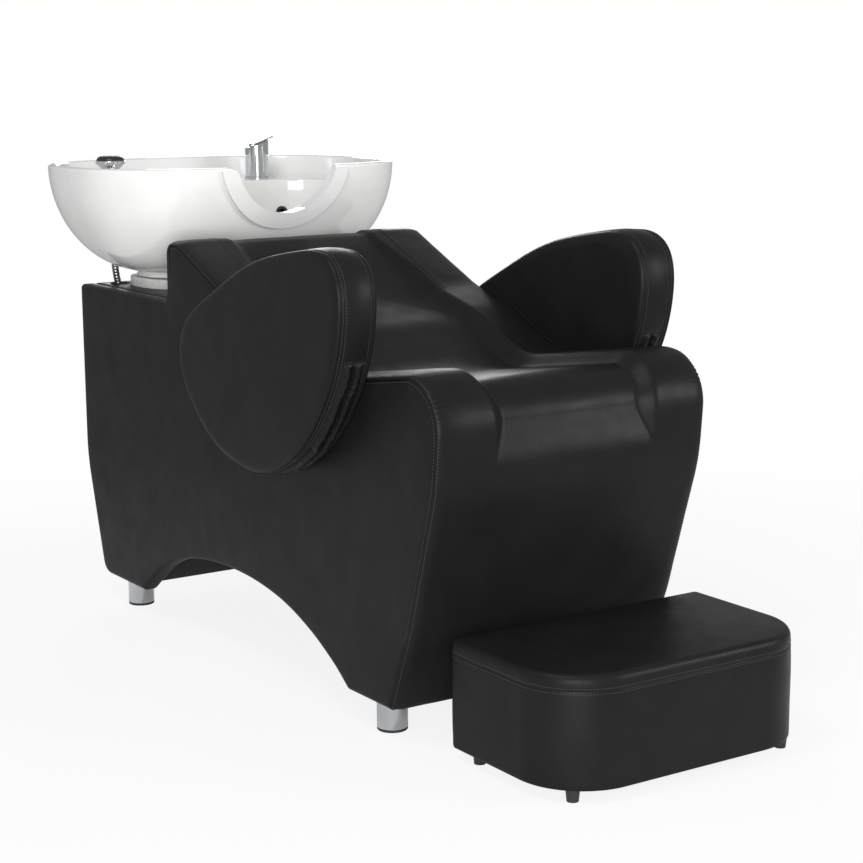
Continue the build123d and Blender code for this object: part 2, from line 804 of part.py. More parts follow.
# Foot ring on the shelf, the only part of the stand that shows
foot_ring_half_width = 188.0
foot_ring_half_depth = 120.0
foot_ring_wall = 25.0
foot_ring_height = 18.0
foot_ring_round = 3.0
foot_ring_outer = oval(shelf_height, foot_ring_half_width, foot_ring_half_depth, basin_distance)
foot_ring_inner = oval(
    shelf_height,
    foot_ring_half_width - foot_ring_wall,
    foot_ring_half_depth - foot_ring_wall,
    basin_distance,
)
with BuildPart() as basin_foot:
    extrude(foot_ring_outer, amount=foot_ring_height)
    fillet(basin_foot.edges().group_by(Axis.Z)[-1], foot_ring_round)
    extrude(foot_ring_inner, amount=foot_ring_height, mode=Mode.SUBTRACT)
save(basin_foot, "basin_foot")

# Tilt stand: base plate with two ears, hinge pin, saddle under the bowl, front buffers
pin_distance = 52.0
pin_height = 650.0
pin_radius = 5.0
pin_head_radius = 7.0
pin_head = 2.0
pin_clearance = 0.3
ear_radius = 9.0
ear_side = 96.0
ear_thickness = 6.0
cheek_side = 88.0
saddle_half_width = 112.0
saddle_rear_distance = 60.0
saddle_front_distance = 216.0
saddle_thickness = 3.0
saddle_hole_radius = 38.0
cheek_front_distance = 150.0
cheek_drop = 4.0
buffer_radius = 10.0
buffer_side = 60.0
buffer_distance = 190.0
stand_top = shelf_height + stand_plate_thickness
bowl_foot = floor_height - bowl_outer_wall
saddle_base = bowl_foot - saddle_thickness
pin_place = (from_rear(pin_distance), pin_height)
stand_middle = from_rear((stand_rear_distance + stand_front_distance) / 2)
with BuildPart() as stand_plate:
    with BuildSketch(Plane.XY.offset(shelf_height)):
        with Locations((0, stand_middle)):
            Rectangle(2 * stand_half_width, stand_front_distance - stand_rear_distance)
        with Locations((0, from_rear(drain_slot_distance))):
            SlotOverall(drain_slot_length, drain_slot_width, rotation=90, mode=Mode.SUBTRACT)
        with Locations(*stand_screw_places):
            Circle(stand_screw_radius, mode=Mode.SUBTRACT)
    extrude(amount=stand_plate_thickness)
    for start in (ear_side, -ear_side - ear_thickness):
        with BuildSketch(Plane.YZ.offset(start)):
            with Locations(pin_place):
                Circle(ear_radius)
            with Locations((from_rear(pin_distance), (stand_top + pin_height) / 2)):
                Rectangle(2 * ear_radius, pin_height - stand_top)
            with Locations(pin_place):
                Circle(pin_radius, mode=Mode.SUBTRACT)
        extrude(amount=ear_thickness)
save(stand_plate, "stand_plate")

with BuildPart() as hinge_pin:
    with BuildSketch(Plane.YZ.offset(-ear_side - ear_thickness)):
        with Locations(pin_place):
            Circle(pin_radius)
    extrude(amount=2 * (ear_side + ear_thickness))
    for start, reach in ((ear_side + ear_thickness, pin_head), (-ear_side - ear_thickness, -pin_head)):
        with BuildSketch(Plane.YZ.offset(start)):
            with Locations(pin_place):
                Circle(pin_head_radius)
        extrude(amount=reach)
save(hinge_pin, "hinge_pin")

cheek_middle = from_rear((saddle_rear_distance + cheek_front_distance) / 2)
with BuildPart() as tilt_saddle:
    with BuildSketch(Plane.XY.offset(saddle_base)):
        with Locations((0, from_rear((saddle_rear_distance + saddle_front_distance) / 2))):
            RectangleRounded(
                2 * saddle_half_width, saddle_front_distance - saddle_rear_distance, buffer_radius
            )
        with Locations(drain_spot):
            Circle(saddle_hole_radius, mode=Mode.SUBTRACT)
    extrude(amount=saddle_thickness)
    for start in (cheek_side, -cheek_side - ear_thickness):
        with BuildSketch(Plane.YZ.offset(start)):
            with Locations(pin_place):
                Circle(ear_radius)
            with Locations((cheek_middle, saddle_base - cheek_drop / 2)):
                Rectangle(cheek_front_distance - saddle_rear_distance, cheek_drop)
            make_hull()
            with Locations(pin_place):
                Circle(pin_radius + pin_clearance, mode=Mode.SUBTRACT)
        extrude(amount=ear_thickness)
save(tilt_saddle, "tilt_saddle")

buffer_spots = [(side * buffer_side, from_rear(buffer_distance)) for side in (-1, 1)]
with BuildPart() as stand_buffers:
    with BuildSketch(Plane.XY.offset(stand_top)):
        with Locations(*buffer_spots):
            Circle(buffer_radius)
    extrude(amount=saddle_base - soft_gap - stand_top)
save(stand_buffers, "stand_buffers")

with BuildPart() as stand_screws:
    with BuildSketch(Plane.XY.offset(stand_top - stand_screw_length)):
        with Locations(*stand_screw_places):
            Circle(stand_screw_radius)
    extrude(amount=stand_screw_length)
    with BuildSketch(Plane.XY.offset(stand_top)):
        with Locations(*stand_screw_places):
            Circle(stand_screw_head_radius)
    extrude(amount=stand_screw_head)
save(stand_screws, "stand_screws")


def tube(spot, base, height, outer, inner=0):
    """A round bar or tube standing at a place."""
    with BuildPart() as piece:
        with BuildSketch(Plane.XY.offset(base)):
            with Locations(spot):
                Circle(outer)
                if inner:
                    Circle(inner, mode=Mode.SUBTRACT)
        extrude(amount=height)
    return piece.part


def hex_nut(spot, base, height, outer, inner):
    """A six sided nut round a thread."""
    with BuildPart() as piece:
        with BuildSketch(Plane.XY.offset(base)):
            with Locations(spot):
                RegularPolygon(outer, 6)
                Circle(inner, mode=Mode.SUBTRACT)
        extrude(amount=height)
    return piece.part


# Waste: flange in the bowl, seal and nut under it, tailpiece down through the shelf, hair strainer
flange_radius = 35.0
flange_thickness = 3.0
flange_bore = 20.0
thread_radius = 24.0
thread_foot = 644.0
seal_radius = 34.0
nut_radius = 34.0
nut_height = 12.0
tail_radius = 20.0
tail_neck_radius = 19.0
tail_bore = 17.0
tail_foot = 540.0
tail_spigot_length = 60.0
tail_top = 676.0
strainer_radius = 24.0
strainer_thickness = 2.0
strainer_skirt_radius = 17.0
strainer_skirt_wall = 1.5
strainer_skirt_height = 9.0
strainer_knob_radius = 4.0
strainer_knob_height = 6.0
strainer_hole_radius = 2.4
strainer_hole_count = 8
strainer_ring_radius = 11.0
with BuildPart() as drain_flange:
    add(tube(drain_spot, floor_height, flange_thickness, flange_radius, flange_bore))
    add(tube(drain_spot, thread_foot, floor_height - thread_foot, thread_radius, flange_bore))
save(drain_flange, "drain_flange")
with BuildPart() as drain_seal:
    add(tube(drain_spot, saddle_base, saddle_thickness, seal_radius, drain_hole_radius))
save(drain_seal, "drain_seal")
with BuildPart() as drain_nut:
    add(hex_nut(drain_spot, saddle_base - nut_height, nut_height, nut_radius, thread_radius))
save(drain_nut, "drain_nut")
with BuildPart() as drain_tailpiece:
    add(tube(drain_spot, tail_foot, tail_spigot_length, tail_radius, tail_bore))
    add(tube(drain_spot, tail_foot, thread_foot - tail_foot, tail_neck_radius, tail_bore))
    add(tube(drain_spot, thread_foot, tail_top - thread_foot, tail_radius, tail_bore))
save(drain_tailpiece, "drain_tailpiece")
strainer_base = floor_height + flange_thickness + soft_gap
with BuildPart() as hair_strainer:
    with BuildSketch(Plane.XY.offset(strainer_base)):
        with Locations(drain_spot):
            Circle(strainer_radius)
            with PolarLocations(strainer_ring_radius, strainer_hole_count):
                Circle(strainer_hole_radius, mode=Mode.SUBTRACT)
    extrude(amount=strainer_thickness)
    add(tube(drain_spot, strainer_base + strainer_thickness, strainer_knob_height, strainer_knob_radius))
    skirt_inner = strainer_skirt_radius - strainer_skirt_wall
    add(tube(drain_spot, strainer_base, -strainer_skirt_height, strainer_skirt_radius, skirt_inner))
save(hair_strainer, "hair_strainer")

# Overflow cap: a ring pressed into the hole in the bowl's rear wall
overflow_lip_radius = 12.0
overflow_lip = 2.0
overflow_lift = 0.8
overflow_stem = 10.0
overflow_bore = 6.5
with BuildPart() as overflow_cap:
    with BuildSketch(overflow_plane.offset(overflow_lip + overflow_lift)):
        Circle(overflow_lip_radius)
        Circle(overflow_bore, mode=Mode.SUBTRACT)
    extrude(amount=-overflow_lip)
    with BuildSketch(overflow_plane.offset(overflow_lift)):
        Circle(overflow_hole_radius)
        Circle(overflow_bore, mode=Mode.SUBTRACT)
    extrude(amount=-overflow_stem)
save(overflow_cap, "overflow_cap")

# Mixer: body on the deck, nut and tails below, cartridge, cap that turns and a lever that lifts
mixer_base_radius = 27.0
mixer_base_height = 4.0
mixer_radius = 24.0
mixer_body_height = 46.0
mixer_stem_radius = 16.0
mixer_stem_foot = 784.0
mixer_bore = 17.0
mixer_bore_floor = 838.0
mixer_nut_radius = 27.0
mixer_nut_height = 10.0
cartridge_top = 873.0
spindle_radius = 6.0
cap_gap = 0.4
cap_height = 33.0
cap_low_drop = 16.0
cap_inner_radius = 20.0
cap_inner_height = 8.0
tail_pipe_radius = 3.8
tail_pipe_side = 11.8
tail_pipe_foot = 744.0
mixer_top = deck_height + mixer_body_height
cap_base = mixer_top + cap_gap
spindle_top = cap_base + cap_inner_height - cap_gap
with BuildPart() as mixer_body:
    add(tube(mixer_spot, deck_height, mixer_base_height, mixer_base_radius))
    chamfer(mixer_body.edges().group_by(Axis.Z)[-1], mixer_base_height / 2)
    add(tube(mixer_spot, deck_height, mixer_body_height, mixer_radius))
    add(tube(mixer_spot, mixer_stem_foot, deck_height - mixer_stem_foot, mixer_stem_radius))
    add(tube(mixer_spot, mixer_bore_floor, mixer_top - mixer_bore_floor, mixer_bore), mode=Mode.SUBTRACT)
save(mixer_body, "mixer_body")
mixer_nut_base = hollow_top_height - mixer_nut_height
with BuildPart() as mixer_nut:
    add(hex_nut(mixer_spot, mixer_nut_base, mixer_nut_height, mixer_nut_radius, mixer_stem_radius))
save(mixer_nut, "mixer_nut")
with BuildPart() as mixer_tails:
    for side in (-1, 1):
        tail_spot = (mixer_side + side * tail_pipe_side, from_rear(mixer_distance))
        add(tube(tail_spot, tail_pipe_foot, mixer_stem_foot - tail_pipe_foot, tail_pipe_radius))
save(mixer_tails, "mixer_tails")
with BuildPart() as mixer_cartridge:
    add(tube(mixer_spot, mixer_bore_floor, cartridge_top - mixer_bore_floor, mixer_bore))
    add(tube(mixer_spot, cartridge_top, spindle_top - cartridge_top, spindle_radius))
save(mixer_cartridge, "mixer_cartridge")

# The cap's top slants up towards +X, where the lever's tip points
lever_pin_side = -14.0
lever_thickness = 5.0
lever_root_width = 22.0
lever_tip_width = 15.0
lever_tip_side = 36.0
lever_knuckle_radius = 4.0
lever_knuckle_length = 12.0
lever_pin_radius = 1.5
lever_pin_length = 34.0
lever_tip_round = 3.0
cap_low = cap_base + cap_height - cap_low_drop
cap_slope = cap_low_drop / (2 * mixer_radius)
lever_gap = 0.5


def cap_line(side):
    """Height of the cap's slanted top at this distance to the +X side of its axis."""
    return cap_low + (side + mixer_radius) * cap_slope


knuckle_place = (mixer_side + lever_pin_side, cap_line(lever_pin_side) - lever_knuckle_radius / 2)
mixer_plane = Plane.XZ.offset(-mixer_spot[1])
with BuildPart() as mixer_cap:
    add(tube(mixer_spot, cap_base, cap_height, mixer_radius))
    add(tube(mixer_spot, cap_base, cap_inner_height, cap_inner_radius), mode=Mode.SUBTRACT)
    with BuildSketch(mixer_plane):
        with BuildLine():
            Polyline(
                (mixer_side - 2 * mixer_radius, cap_line(-2 * mixer_radius)),
                (mixer_side + 2 * mixer_radius, cap_line(2 * mixer_radius)),
                (mixer_side - 2 * mixer_radius, cap_line(2 * mixer_radius) + cap_height),
                close=True,
            )
        make_face()
    extrude(amount=mixer_base_radius, both=True, mode=Mode.SUBTRACT)
    with BuildSketch(mixer_plane):
        with Locations(knuckle_place):
            Circle(lever_knuckle_radius + lever_gap)
    extrude(amount=lever_knuckle_length / 2 + lever_gap, both=True, mode=Mode.SUBTRACT)
    with BuildSketch(mixer_plane):
        with Locations(knuckle_place):
            Circle(lever_pin_radius)
    extrude(amount=lever_pin_length / 2, both=True)
save(mixer_cap, "mixer_cap")
with BuildPart() as mixer_lever:
    with BuildSketch(mixer_plane):
        with BuildLine():
            Polyline(
                (mixer_side + lever_pin_side, cap_line(lever_pin_side) + lever_gap),
                (mixer_side + lever_tip_side, cap_line(lever_tip_side) + lever_gap),
                (mixer_side + lever_tip_side, cap_line(lever_tip_side) + lever_thickness),
                (mixer_side + lever_pin_side, cap_line(lever_pin_side) + lever_thickness),
                close=True,
            )
        make_face()
    extrude(amount=lever_root_width / 2, both=True)
    with BuildSketch(Plane.XY.offset(cap_base)):
        with BuildLine():
            FilletPolyline(
                (mixer_side + lever_pin_side, mixer_spot[1] - lever_root_width / 2),
                (mixer_side + lever_tip_side, mixer_spot[1] - lever_tip_width / 2),
                (mixer_side + lever_tip_side, mixer_spot[1] + lever_tip_width / 2),
                (mixer_side + lever_pin_side, mixer_spot[1] + lever_root_width / 2),
                radius=lever_tip_round,
                close=True,
            )
        make_face()
    extrude(amount=2 * cap_height, mode=Mode.INTERSECT)
    with BuildSketch(mixer_plane):
        with Locations(knuckle_place):
            Circle(lever_knuckle_radius)
    extrude(amount=lever_knuckle_length / 2, both=True)
    with BuildSketch(mixer_plane):
        with Locations(knuckle_place):
            Circle(lever_pin_radius + lever_gap / 2)
    extrude(amount=lever_knuckle_length, both=True, mode=Mode.SUBTRACT)
save(mixer_lever, "mixer_lever")

# Hand shower parked upright in its ferrule
handle_radius = 12.0
ferrule_flange_radius = 22.0
ferrule_flange_height = 4.0
ferrule_foot = 780.0
ferrule_bore = 12.4
handle_top = 838.0
bell_radius = 30.0
bell_height = 866.0
bell_rim = 4.0
face_radius = 28.0
face_rise = 10.0
waterway_radius = 6.0
head_bore_height = 856.0
with BuildPart() as shower_ferrule:
    add(tube(shower_spot, deck_height, ferrule_flange_height, ferrule_flange_radius))
    chamfer(shower_ferrule.edges().group_by(Axis.Z)[-1], ferrule_flange_height / 2)
    add(tube(shower_spot, ferrule_foot, deck_height - ferrule_foot, shower_hole_radius))
    add(tube(shower_spot, ferrule_foot, cap_base - ferrule_foot, ferrule_bore), mode=Mode.SUBTRACT)
save(shower_ferrule, "shower_ferrule")
shower_profile = [
    (waterway_radius, shower_foot),
    (handle_radius, shower_foot),
    (handle_radius, handle_top),
]
shower_plane = Plane((shower_spot[0], shower_spot[1], 0), x_dir=(1, 0, 0), z_dir=(0, -1, 0))
with BuildPart() as shower_head:
    with BuildSketch(shower_plane):
        with BuildLine():
            Polyline(*shower_profile)
            Spline(
                (handle_radius, handle_top),
                (bell_radius, bell_height),
                tangents=((0, 1), (1, 1)),
            )
            Polyline(
                (bell_radius, bell_height),
                (bell_radius, bell_height + bell_rim),
                (face_radius, bell_height + bell_rim),
                (face_radius, bell_height),
                (waterway_radius, head_bore_height),
                (waterway_radius, shower_foot),
            )
        make_face()
    revolve(axis=Axis((shower_spot[0], shower_spot[1], 0), (0, 0, 1)))
save(shower_head, "shower_head")
with BuildPart() as shower_face:
    add(tube(shower_spot, bell_height, bell_rim + face_rise, face_radius))
    fillet(shower_face.edges().group_by(Axis.Z)[-1], face_rise)
save(shower_face, "shower_face")

# Shower hose: from the handle down through the skirt and the shelf, round and up to the mixer
hose_radius = 7.0
hose_bore = 4.5
hose_drop_height = 664.0
hose_mixer_height = 716.0
hose_round_share = 0.45
hose_side_shares = (
    -0.5650, -0.5468, -0.5347, -0.4532, -0.2417, 0.0151, 0.2417, 0.3807, 0.4109, 0.4139, 0.4169
)
hose_distance_shares = (
    0.0827, 0.0885, 0.1000, 0.1154, 0.1308, 0.1462, 0.1577, 0.1654, 0.1712, 0.1692, 0.1731
)
hose_height_shares = (
    0.9810, 0.8889, 0.7460, 0.6111, 0.5159, 0.4921, 0.5476, 0.6667, 0.8095, 0.9365, 1.0603
)
hose_route = [
    Vector(*shower_spot, shower_foot),
    Vector(*shower_spot, hose_drop_height),
]
for across, along, up in zip(hose_side_shares, hose_distance_shares, hose_height_shares):
    place = (across * basin_width / 2, from_rear(along * basin_depth), up * shelf_height)
    hose_route.append(Vector(*place))
hose_route += [
    Vector(*mixer_spot, hose_mixer_height),
    Vector(*mixer_spot, mixer_stem_foot),
]
hose_radii = []
for before, here, after in zip(hose_route, hose_route[1:], hose_route[2:]):
    turn = (here - before).get_angle(after - here)
    shorter = min((here - before).length, (after - here).length)
    hose_radii.append(hose_round_share * shorter / tan(radians(turn / 2)))
with BuildPart() as shower_hose:
    with BuildLine() as hose_path:
        FilletPolyline(*hose_route, radius=hose_radii)
    with BuildSketch(Plane(hose_route[0], z_dir=hose_route[1] - hose_route[0])):
        Circle(hose_radius)
        Circle(hose_bore, mode=Mode.SUBTRACT)
    sweep(path=hose_path.wires()[0])
save(shower_hose, "shower_hose")

# Footstool: upholstered box on a base board, crowned top pad and four small feet
stool_side = 36.0
stool_rear_round = 14.0
stool_front_round = 110.0
stool_foot_height = 20.0
stool_foot_radius = 11.0
stool_foot_taper = 2.0
stool_stud_radius = 4.0
stool_stud_length = 10.0
stool_board_thickness = 12.0
stool_board_inset = 6.0
stool_seam_height = 168.0
stool_body_inset = 2.0
stool_foot_side_shares = (-0.910, 0.910, -0.829, 0.829)
stool_foot_depth_shares = (0.155, 0.155, 0.862, 0.862)
stool_pad_height_shares = (0, 0.16, 0.45, 0.72, 0.90, 1)
stool_pad_inset_shares = (0.10, 0, 0.02, 0.14, 0.42, 1)
stool_pad_inset = 60.0
stool_body_height_shares = (0, 0.08, 0.5, 0.92, 1)
stool_body_inset_shares = (1, 0, 0, 0.2, 1)


def stool_face(height, inset):
    """Horizontal outline of the footstool at a height, with small rear and large front corners."""
    wide = stool_width / 2 - inset
    rear = from_rear(stool_distance + inset)
    front = from_rear(stool_distance + stool_depth - inset)
    rear_round = max(stool_rear_round - inset, stool_board_inset)
    corners = [
        (stool_side - wide, rear),
        (stool_side + wide, rear),
        (stool_side + wide, front),
        (stool_side - wide, front),
    ]
    front_round = stool_front_round - inset
    with BuildSketch(Plane.XY.offset(height)) as face:
        with BuildLine():
            FilletPolyline(*corners, radius=[rear_round, rear_round, front_round, front_round], close=True)
        make_face()
    return face.sketch


stool_foot_spots = [
    (stool_side + across * stool_width / 2, from_rear(stool_distance + along * stool_depth))
    for across, along in zip(stool_foot_side_shares, stool_foot_depth_shares)
]
with BuildPart() as stool_board:
    extrude(stool_face(stool_foot_height, stool_board_inset), amount=stool_board_thickness)
    with BuildSketch(Plane.XY.offset(stool_foot_height)):
        with Locations(*stool_foot_spots):
            Circle(stool_stud_radius)
    extrude(amount=stool_stud_length, mode=Mode.SUBTRACT)
save(stool_board, "stool_board")
stool_box_base = stool_foot_height + stool_board_thickness
stool_box_span = stool_seam_height - stool_box_base
with BuildPart() as stool_body:
    loft([
        stool_face(stool_box_base + share * stool_box_span, stool_body_inset * inset)
        for share, inset in zip(stool_body_height_shares, stool_body_inset_shares)
    ], ruled=True)
save(stool_body, "stool_body")
stool_pad_span = stool_height - stool_seam_height
with BuildPart() as stool_pad:
    loft([
        stool_face(stool_seam_height + share * stool_pad_span, stool_pad_inset * inset)
        for share, inset in zip(stool_pad_height_shares, stool_pad_inset_shares)
    ], ruled=True)
save(stool_pad, "stool_pad")
for number, spot in enumerate(stool_foot_spots, 1):
    with BuildPart() as stool_foot:
        with BuildSketch(Plane.XY):
            with Locations(spot):
                Circle(stool_foot_radius - stool_foot_taper)
        with BuildSketch(Plane.XY.offset(stool_foot_height)):
            with Locations(spot):
                Circle(stool_foot_radius)
        loft()
        add(tube(spot, stool_foot_height, stool_stud_length, stool_stud_radius))
    save(stool_foot, f"stool_foot_{number}")
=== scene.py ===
"""Looks of the hair washing bed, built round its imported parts.

Outlines and depths are in millimetres, placed points in metres, noise scales in cells per metre. Distances
run forward from the rear face, sides to the right from the middle and heights up from the floor.
"""

from math import acos, ceil, cos, pi, radians, sin, tan

import bmesh
import bpy
import numpy as np
from mathutils import Matrix, Vector, geometry, noise
from mathutils.bvhtree import BVHTree


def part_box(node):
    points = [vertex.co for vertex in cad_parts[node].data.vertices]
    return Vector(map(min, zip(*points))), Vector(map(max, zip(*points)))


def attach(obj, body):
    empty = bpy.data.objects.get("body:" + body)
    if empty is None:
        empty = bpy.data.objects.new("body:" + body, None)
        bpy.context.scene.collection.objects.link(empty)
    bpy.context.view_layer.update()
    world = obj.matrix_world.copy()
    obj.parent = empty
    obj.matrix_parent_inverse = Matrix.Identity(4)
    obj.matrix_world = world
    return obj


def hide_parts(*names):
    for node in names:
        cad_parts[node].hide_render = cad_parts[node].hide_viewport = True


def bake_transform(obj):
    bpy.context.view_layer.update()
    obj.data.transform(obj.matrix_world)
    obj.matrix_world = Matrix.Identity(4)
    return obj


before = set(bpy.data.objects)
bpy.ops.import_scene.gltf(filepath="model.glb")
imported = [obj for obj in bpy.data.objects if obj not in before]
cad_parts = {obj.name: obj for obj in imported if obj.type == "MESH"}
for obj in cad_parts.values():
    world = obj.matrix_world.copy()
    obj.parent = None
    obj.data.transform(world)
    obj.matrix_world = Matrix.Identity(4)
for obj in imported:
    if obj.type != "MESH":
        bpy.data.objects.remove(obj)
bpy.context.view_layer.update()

MM = 0.001
REAR, HALF, BASE, SHELF = 694.0, 257.0, 57, 630
HANDS = {"left": -1, "right": 1}
SIDES = tuple(HANDS.values())


def at(side, distance, height):
    """Point in metres from a side place, a distance and a height in millimetres."""
    return Vector((side * MM, (REAR - distance) * MM, height * MM))


def placed(name, data):
    """A new object in the scene."""
    made = bpy.data.objects.new(name, data)
    bpy.context.collection.objects.link(made)
    return made


# Camera of the photograph, with its angles in radians
YAW, PITCH, ROLL = -0.585358, 0.180939, -0.007554
LENS, SENSOR = 81.994, 36.0
CAMERA_PLACE = (-1.823, -2.9245, 1.037)
FAR_CLIP = 60


def set_camera():
    """The photograph's viewpoint."""
    flat_forward = Vector((-sin(YAW), cos(YAW), 0))
    flat_right = Vector((cos(YAW), sin(YAW), 0))
    upright = Vector((0, 0, 1))
    forward = cos(PITCH) * flat_forward - sin(PITCH) * upright
    level_up = sin(PITCH) * flat_forward + cos(PITCH) * upright
    right = cos(ROLL) * flat_right + sin(ROLL) * level_up
    up = cos(ROLL) * level_up - sin(ROLL) * flat_right
    data = bpy.data.cameras.new("camera")
    data.lens = LENS
    data.sensor_width = SENSOR
    data.clip_end = FAR_CLIP
    camera = placed("camera", data)
    turn = Matrix((right, up, -forward)).transposed().to_4x4()
    camera.matrix_world = Matrix.Translation(CAMERA_PLACE) @ turn
    bpy.context.scene.camera = camera


set_camera()


# Materials
COAT_ROUGHNESS = 0.08
NOISE_RANGE = (0.3, 0.7)


def blank(name, roughness, metallic=0.0, coat=0.0, specular=0.5):
    """A new material with its tree, shader and object coordinates."""
    made = bpy.data.materials.new(name)
    made.use_nodes = True
    tree = made.node_tree
    shader = tree.nodes["Principled BSDF"]
    values = {
        "Roughness": roughness, "Metallic": metallic, "Specular IOR Level": specular,
        "Coat Weight": coat, "Coat Roughness": COAT_ROUGHNESS,
    }
    for socket, value in values.items():
        shader.inputs[socket].default_value = value
    return made, tree, shader, wired(tree, "TexCoord", "Object", {})


def wired(tree, kind, output, inputs, **settings):
    """Output of a new shader node, each of whose inputs is a value or a socket."""
    made = tree.nodes.new(f"ShaderNode{kind}")
    for name, value in settings.items():
        setattr(made, name, value)
    for name, value in inputs.items():
        if isinstance(value, bpy.types.NodeSocket):
            tree.links.new(value, made.inputs[name])
        else:
            made.inputs[name].default_value = value
    return made.outputs[output]


def mapped(tree, coordinates, stretch):
    """Coordinates scaled along each axis."""
    return wired(tree, "Mapping", "Vector", {"Scale": stretch, "Vector": coordinates})


def noisy(tree, coordinates, scale, detail=3.0, roughness=0.55):
    """Noise between 0 and 1."""
    values = {"Scale": scale, "Detail": detail, "Roughness": roughness, "Vector": coordinates}
    return wired(tree, "TexNoise", "Fac", values)


def cells(tree, coordinates, scale, smoothness):
    """Distance to the nearest cell centre, as on pebbled leather."""
    values = {"Scale": scale, "Smoothness": smoothness, "Vector": coordinates}
    return wired(tree, "TexVoronoi", "Distance", values, feature="SMOOTH_F1")


def ranged(tree, value, low, high, source=NOISE_RANGE):
    """A value spread over a range."""
    values = {"From Min": source[0], "From Max": source[1], "To Min": low, "To Max": high, "Value": value}
    return wired(tree, "MapRange", "Result", values)


def blended(tree, value, dark, light):
    """A colour between two, by a value."""
    values = {"A": (*dark, 1), "B": (*light, 1), "Factor": value}
    return wired(tree, "Mix", "Result", values, data_type="RGBA")


def bumped(tree, height, distance, strength, before=None):
    """Normal from a height, on top of an earlier one."""
    values = {"Distance": distance, "Strength": strength, "Height": height}
    if before is not None:
        values["Normal"] = before
    return wired(tree, "Bump", "Normal", values)


FINE_DETAIL, RELIEF_STRENGTH = 2.0, 0.5
ROUGH_SCALE_SHARE = 3


def finish(name, dark, light, rough, scale, relief=(400, 0.0001), stretch=(1, 1, 1), **shader_values):
    """A material whose colour, roughness and relief vary with noise."""
    made, tree, shader, coordinates = blank(name, sum(rough) / 2, **shader_values)
    spread = mapped(tree, coordinates, stretch)
    tone = noisy(tree, spread, scale)
    shift = ranged(tree, tone, 0, 1)
    tree.links.new(blended(tree, shift, dark, light), shader.inputs["Base Color"])
    wear = noisy(tree, spread, scale * ROUGH_SCALE_SHARE)
    tree.links.new(ranged(tree, wear, *rough), shader.inputs["Roughness"])
    fine = noisy(tree, spread, relief[0], FINE_DETAIL)
    tree.links.new(bumped(tree, fine, relief[1], RELIEF_STRENGTH), shader.inputs["Normal"])
    return made


# Leather: cells as scale and smoothness, noise as scale, detail and roughness, relief as depth and strength
LEATHER_DARK, LEATHER_LIGHT, LEATHER_ROUGH = (0.0085, 0.0085, 0.0088), (0.0112, 0.0112, 0.0116), (0.36, 0.44)
LEATHER_SPECULAR = 0.11
PEBBLE_CELLS, PEBBLE_RELIEF = (560, 0.6), (0.00035, 0.42)
CREASE_NOISE, CREASE_RELIEF = (38, 4.0, 0.6), (0.0012, 0.16)
PORE_NOISE, PORE_RELIEF = (1500, 1.0), (0.00012, 0.3)
TONE_NOISE, SHEEN_NOISE = (11, 3.0), (26, 5.0)


def leather_finish(name):
    """Black upholstery leather: pebbled grain, soft creases, uneven sheen."""
    made, tree, shader, coordinates = blank(name, sum(LEATHER_ROUGH) / 2, specular=LEATHER_SPECULAR)
    pebble = cells(tree, coordinates, *PEBBLE_CELLS)
    crease = noisy(tree, coordinates, *CREASE_NOISE)
    pores = noisy(tree, coordinates, *PORE_NOISE)
    soft = bumped(tree, crease, *CREASE_RELIEF)
    grain = bumped(tree, pebble, *PEBBLE_RELIEF, soft)
    tree.links.new(bumped(tree, pores, *PORE_RELIEF, grain), shader.inputs["Normal"])
    tone = ranged(tree, noisy(tree, coordinates, *TONE_NOISE), 0, 1)
    tree.links.new(blended(tree, tone, LEATHER_DARK, LEATHER_LIGHT), shader.inputs["Base Color"])
    sheen = noisy(tree, coordinates, *SHEEN_NOISE)
    tree.links.new(ranged(tree, sheen, *LEATHER_ROUGH), shader.inputs["Roughness"])
    return made


WOOD_DARK, WOOD_LIGHT = (0.42, 0.28, 0.16), (0.66, 0.5, 0.33)
WOOD_STRETCH, RING_NOISE, RING_RELIEF = (4, 4, 60), (6, 6.0, 0.65), (0.0004, 0.4)
WOOD_ROUGH = (0.5, 0.75)


def wood_finish(name):
    """Plywood with stretched grain."""
    made, tree, shader, coordinates = blank(name, sum(WOOD_ROUGH) / 2)
    spread = mapped(tree, coordinates, WOOD_STRETCH)
    rings = noisy(tree, spread, *RING_NOISE)
    tone = ranged(tree, rings, 0, 1)
    tree.links.new(blended(tree, tone, WOOD_DARK, WOOD_LIGHT), shader.inputs["Base Color"])
    tree.links.new(ranged(tree, rings, *WOOD_ROUGH), shader.inputs["Roughness"])
    tree.links.new(bumped(tree, rings, *RING_RELIEF), shader.inputs["Normal"])
    return made


LEATHER = leather_finish("black_leather")
# Black thread a little lighter than the leather: a painted highlight, as the real thread shows as light
# stitch lines where it catches the light
THREAD_PAINTED_HIGHLIGHT = finish("black_thread", (0.02, 0.02, 0.021), (0.05, 0.05, 0.052), (0.5, 0.7), 900, (1600, 0.0002))
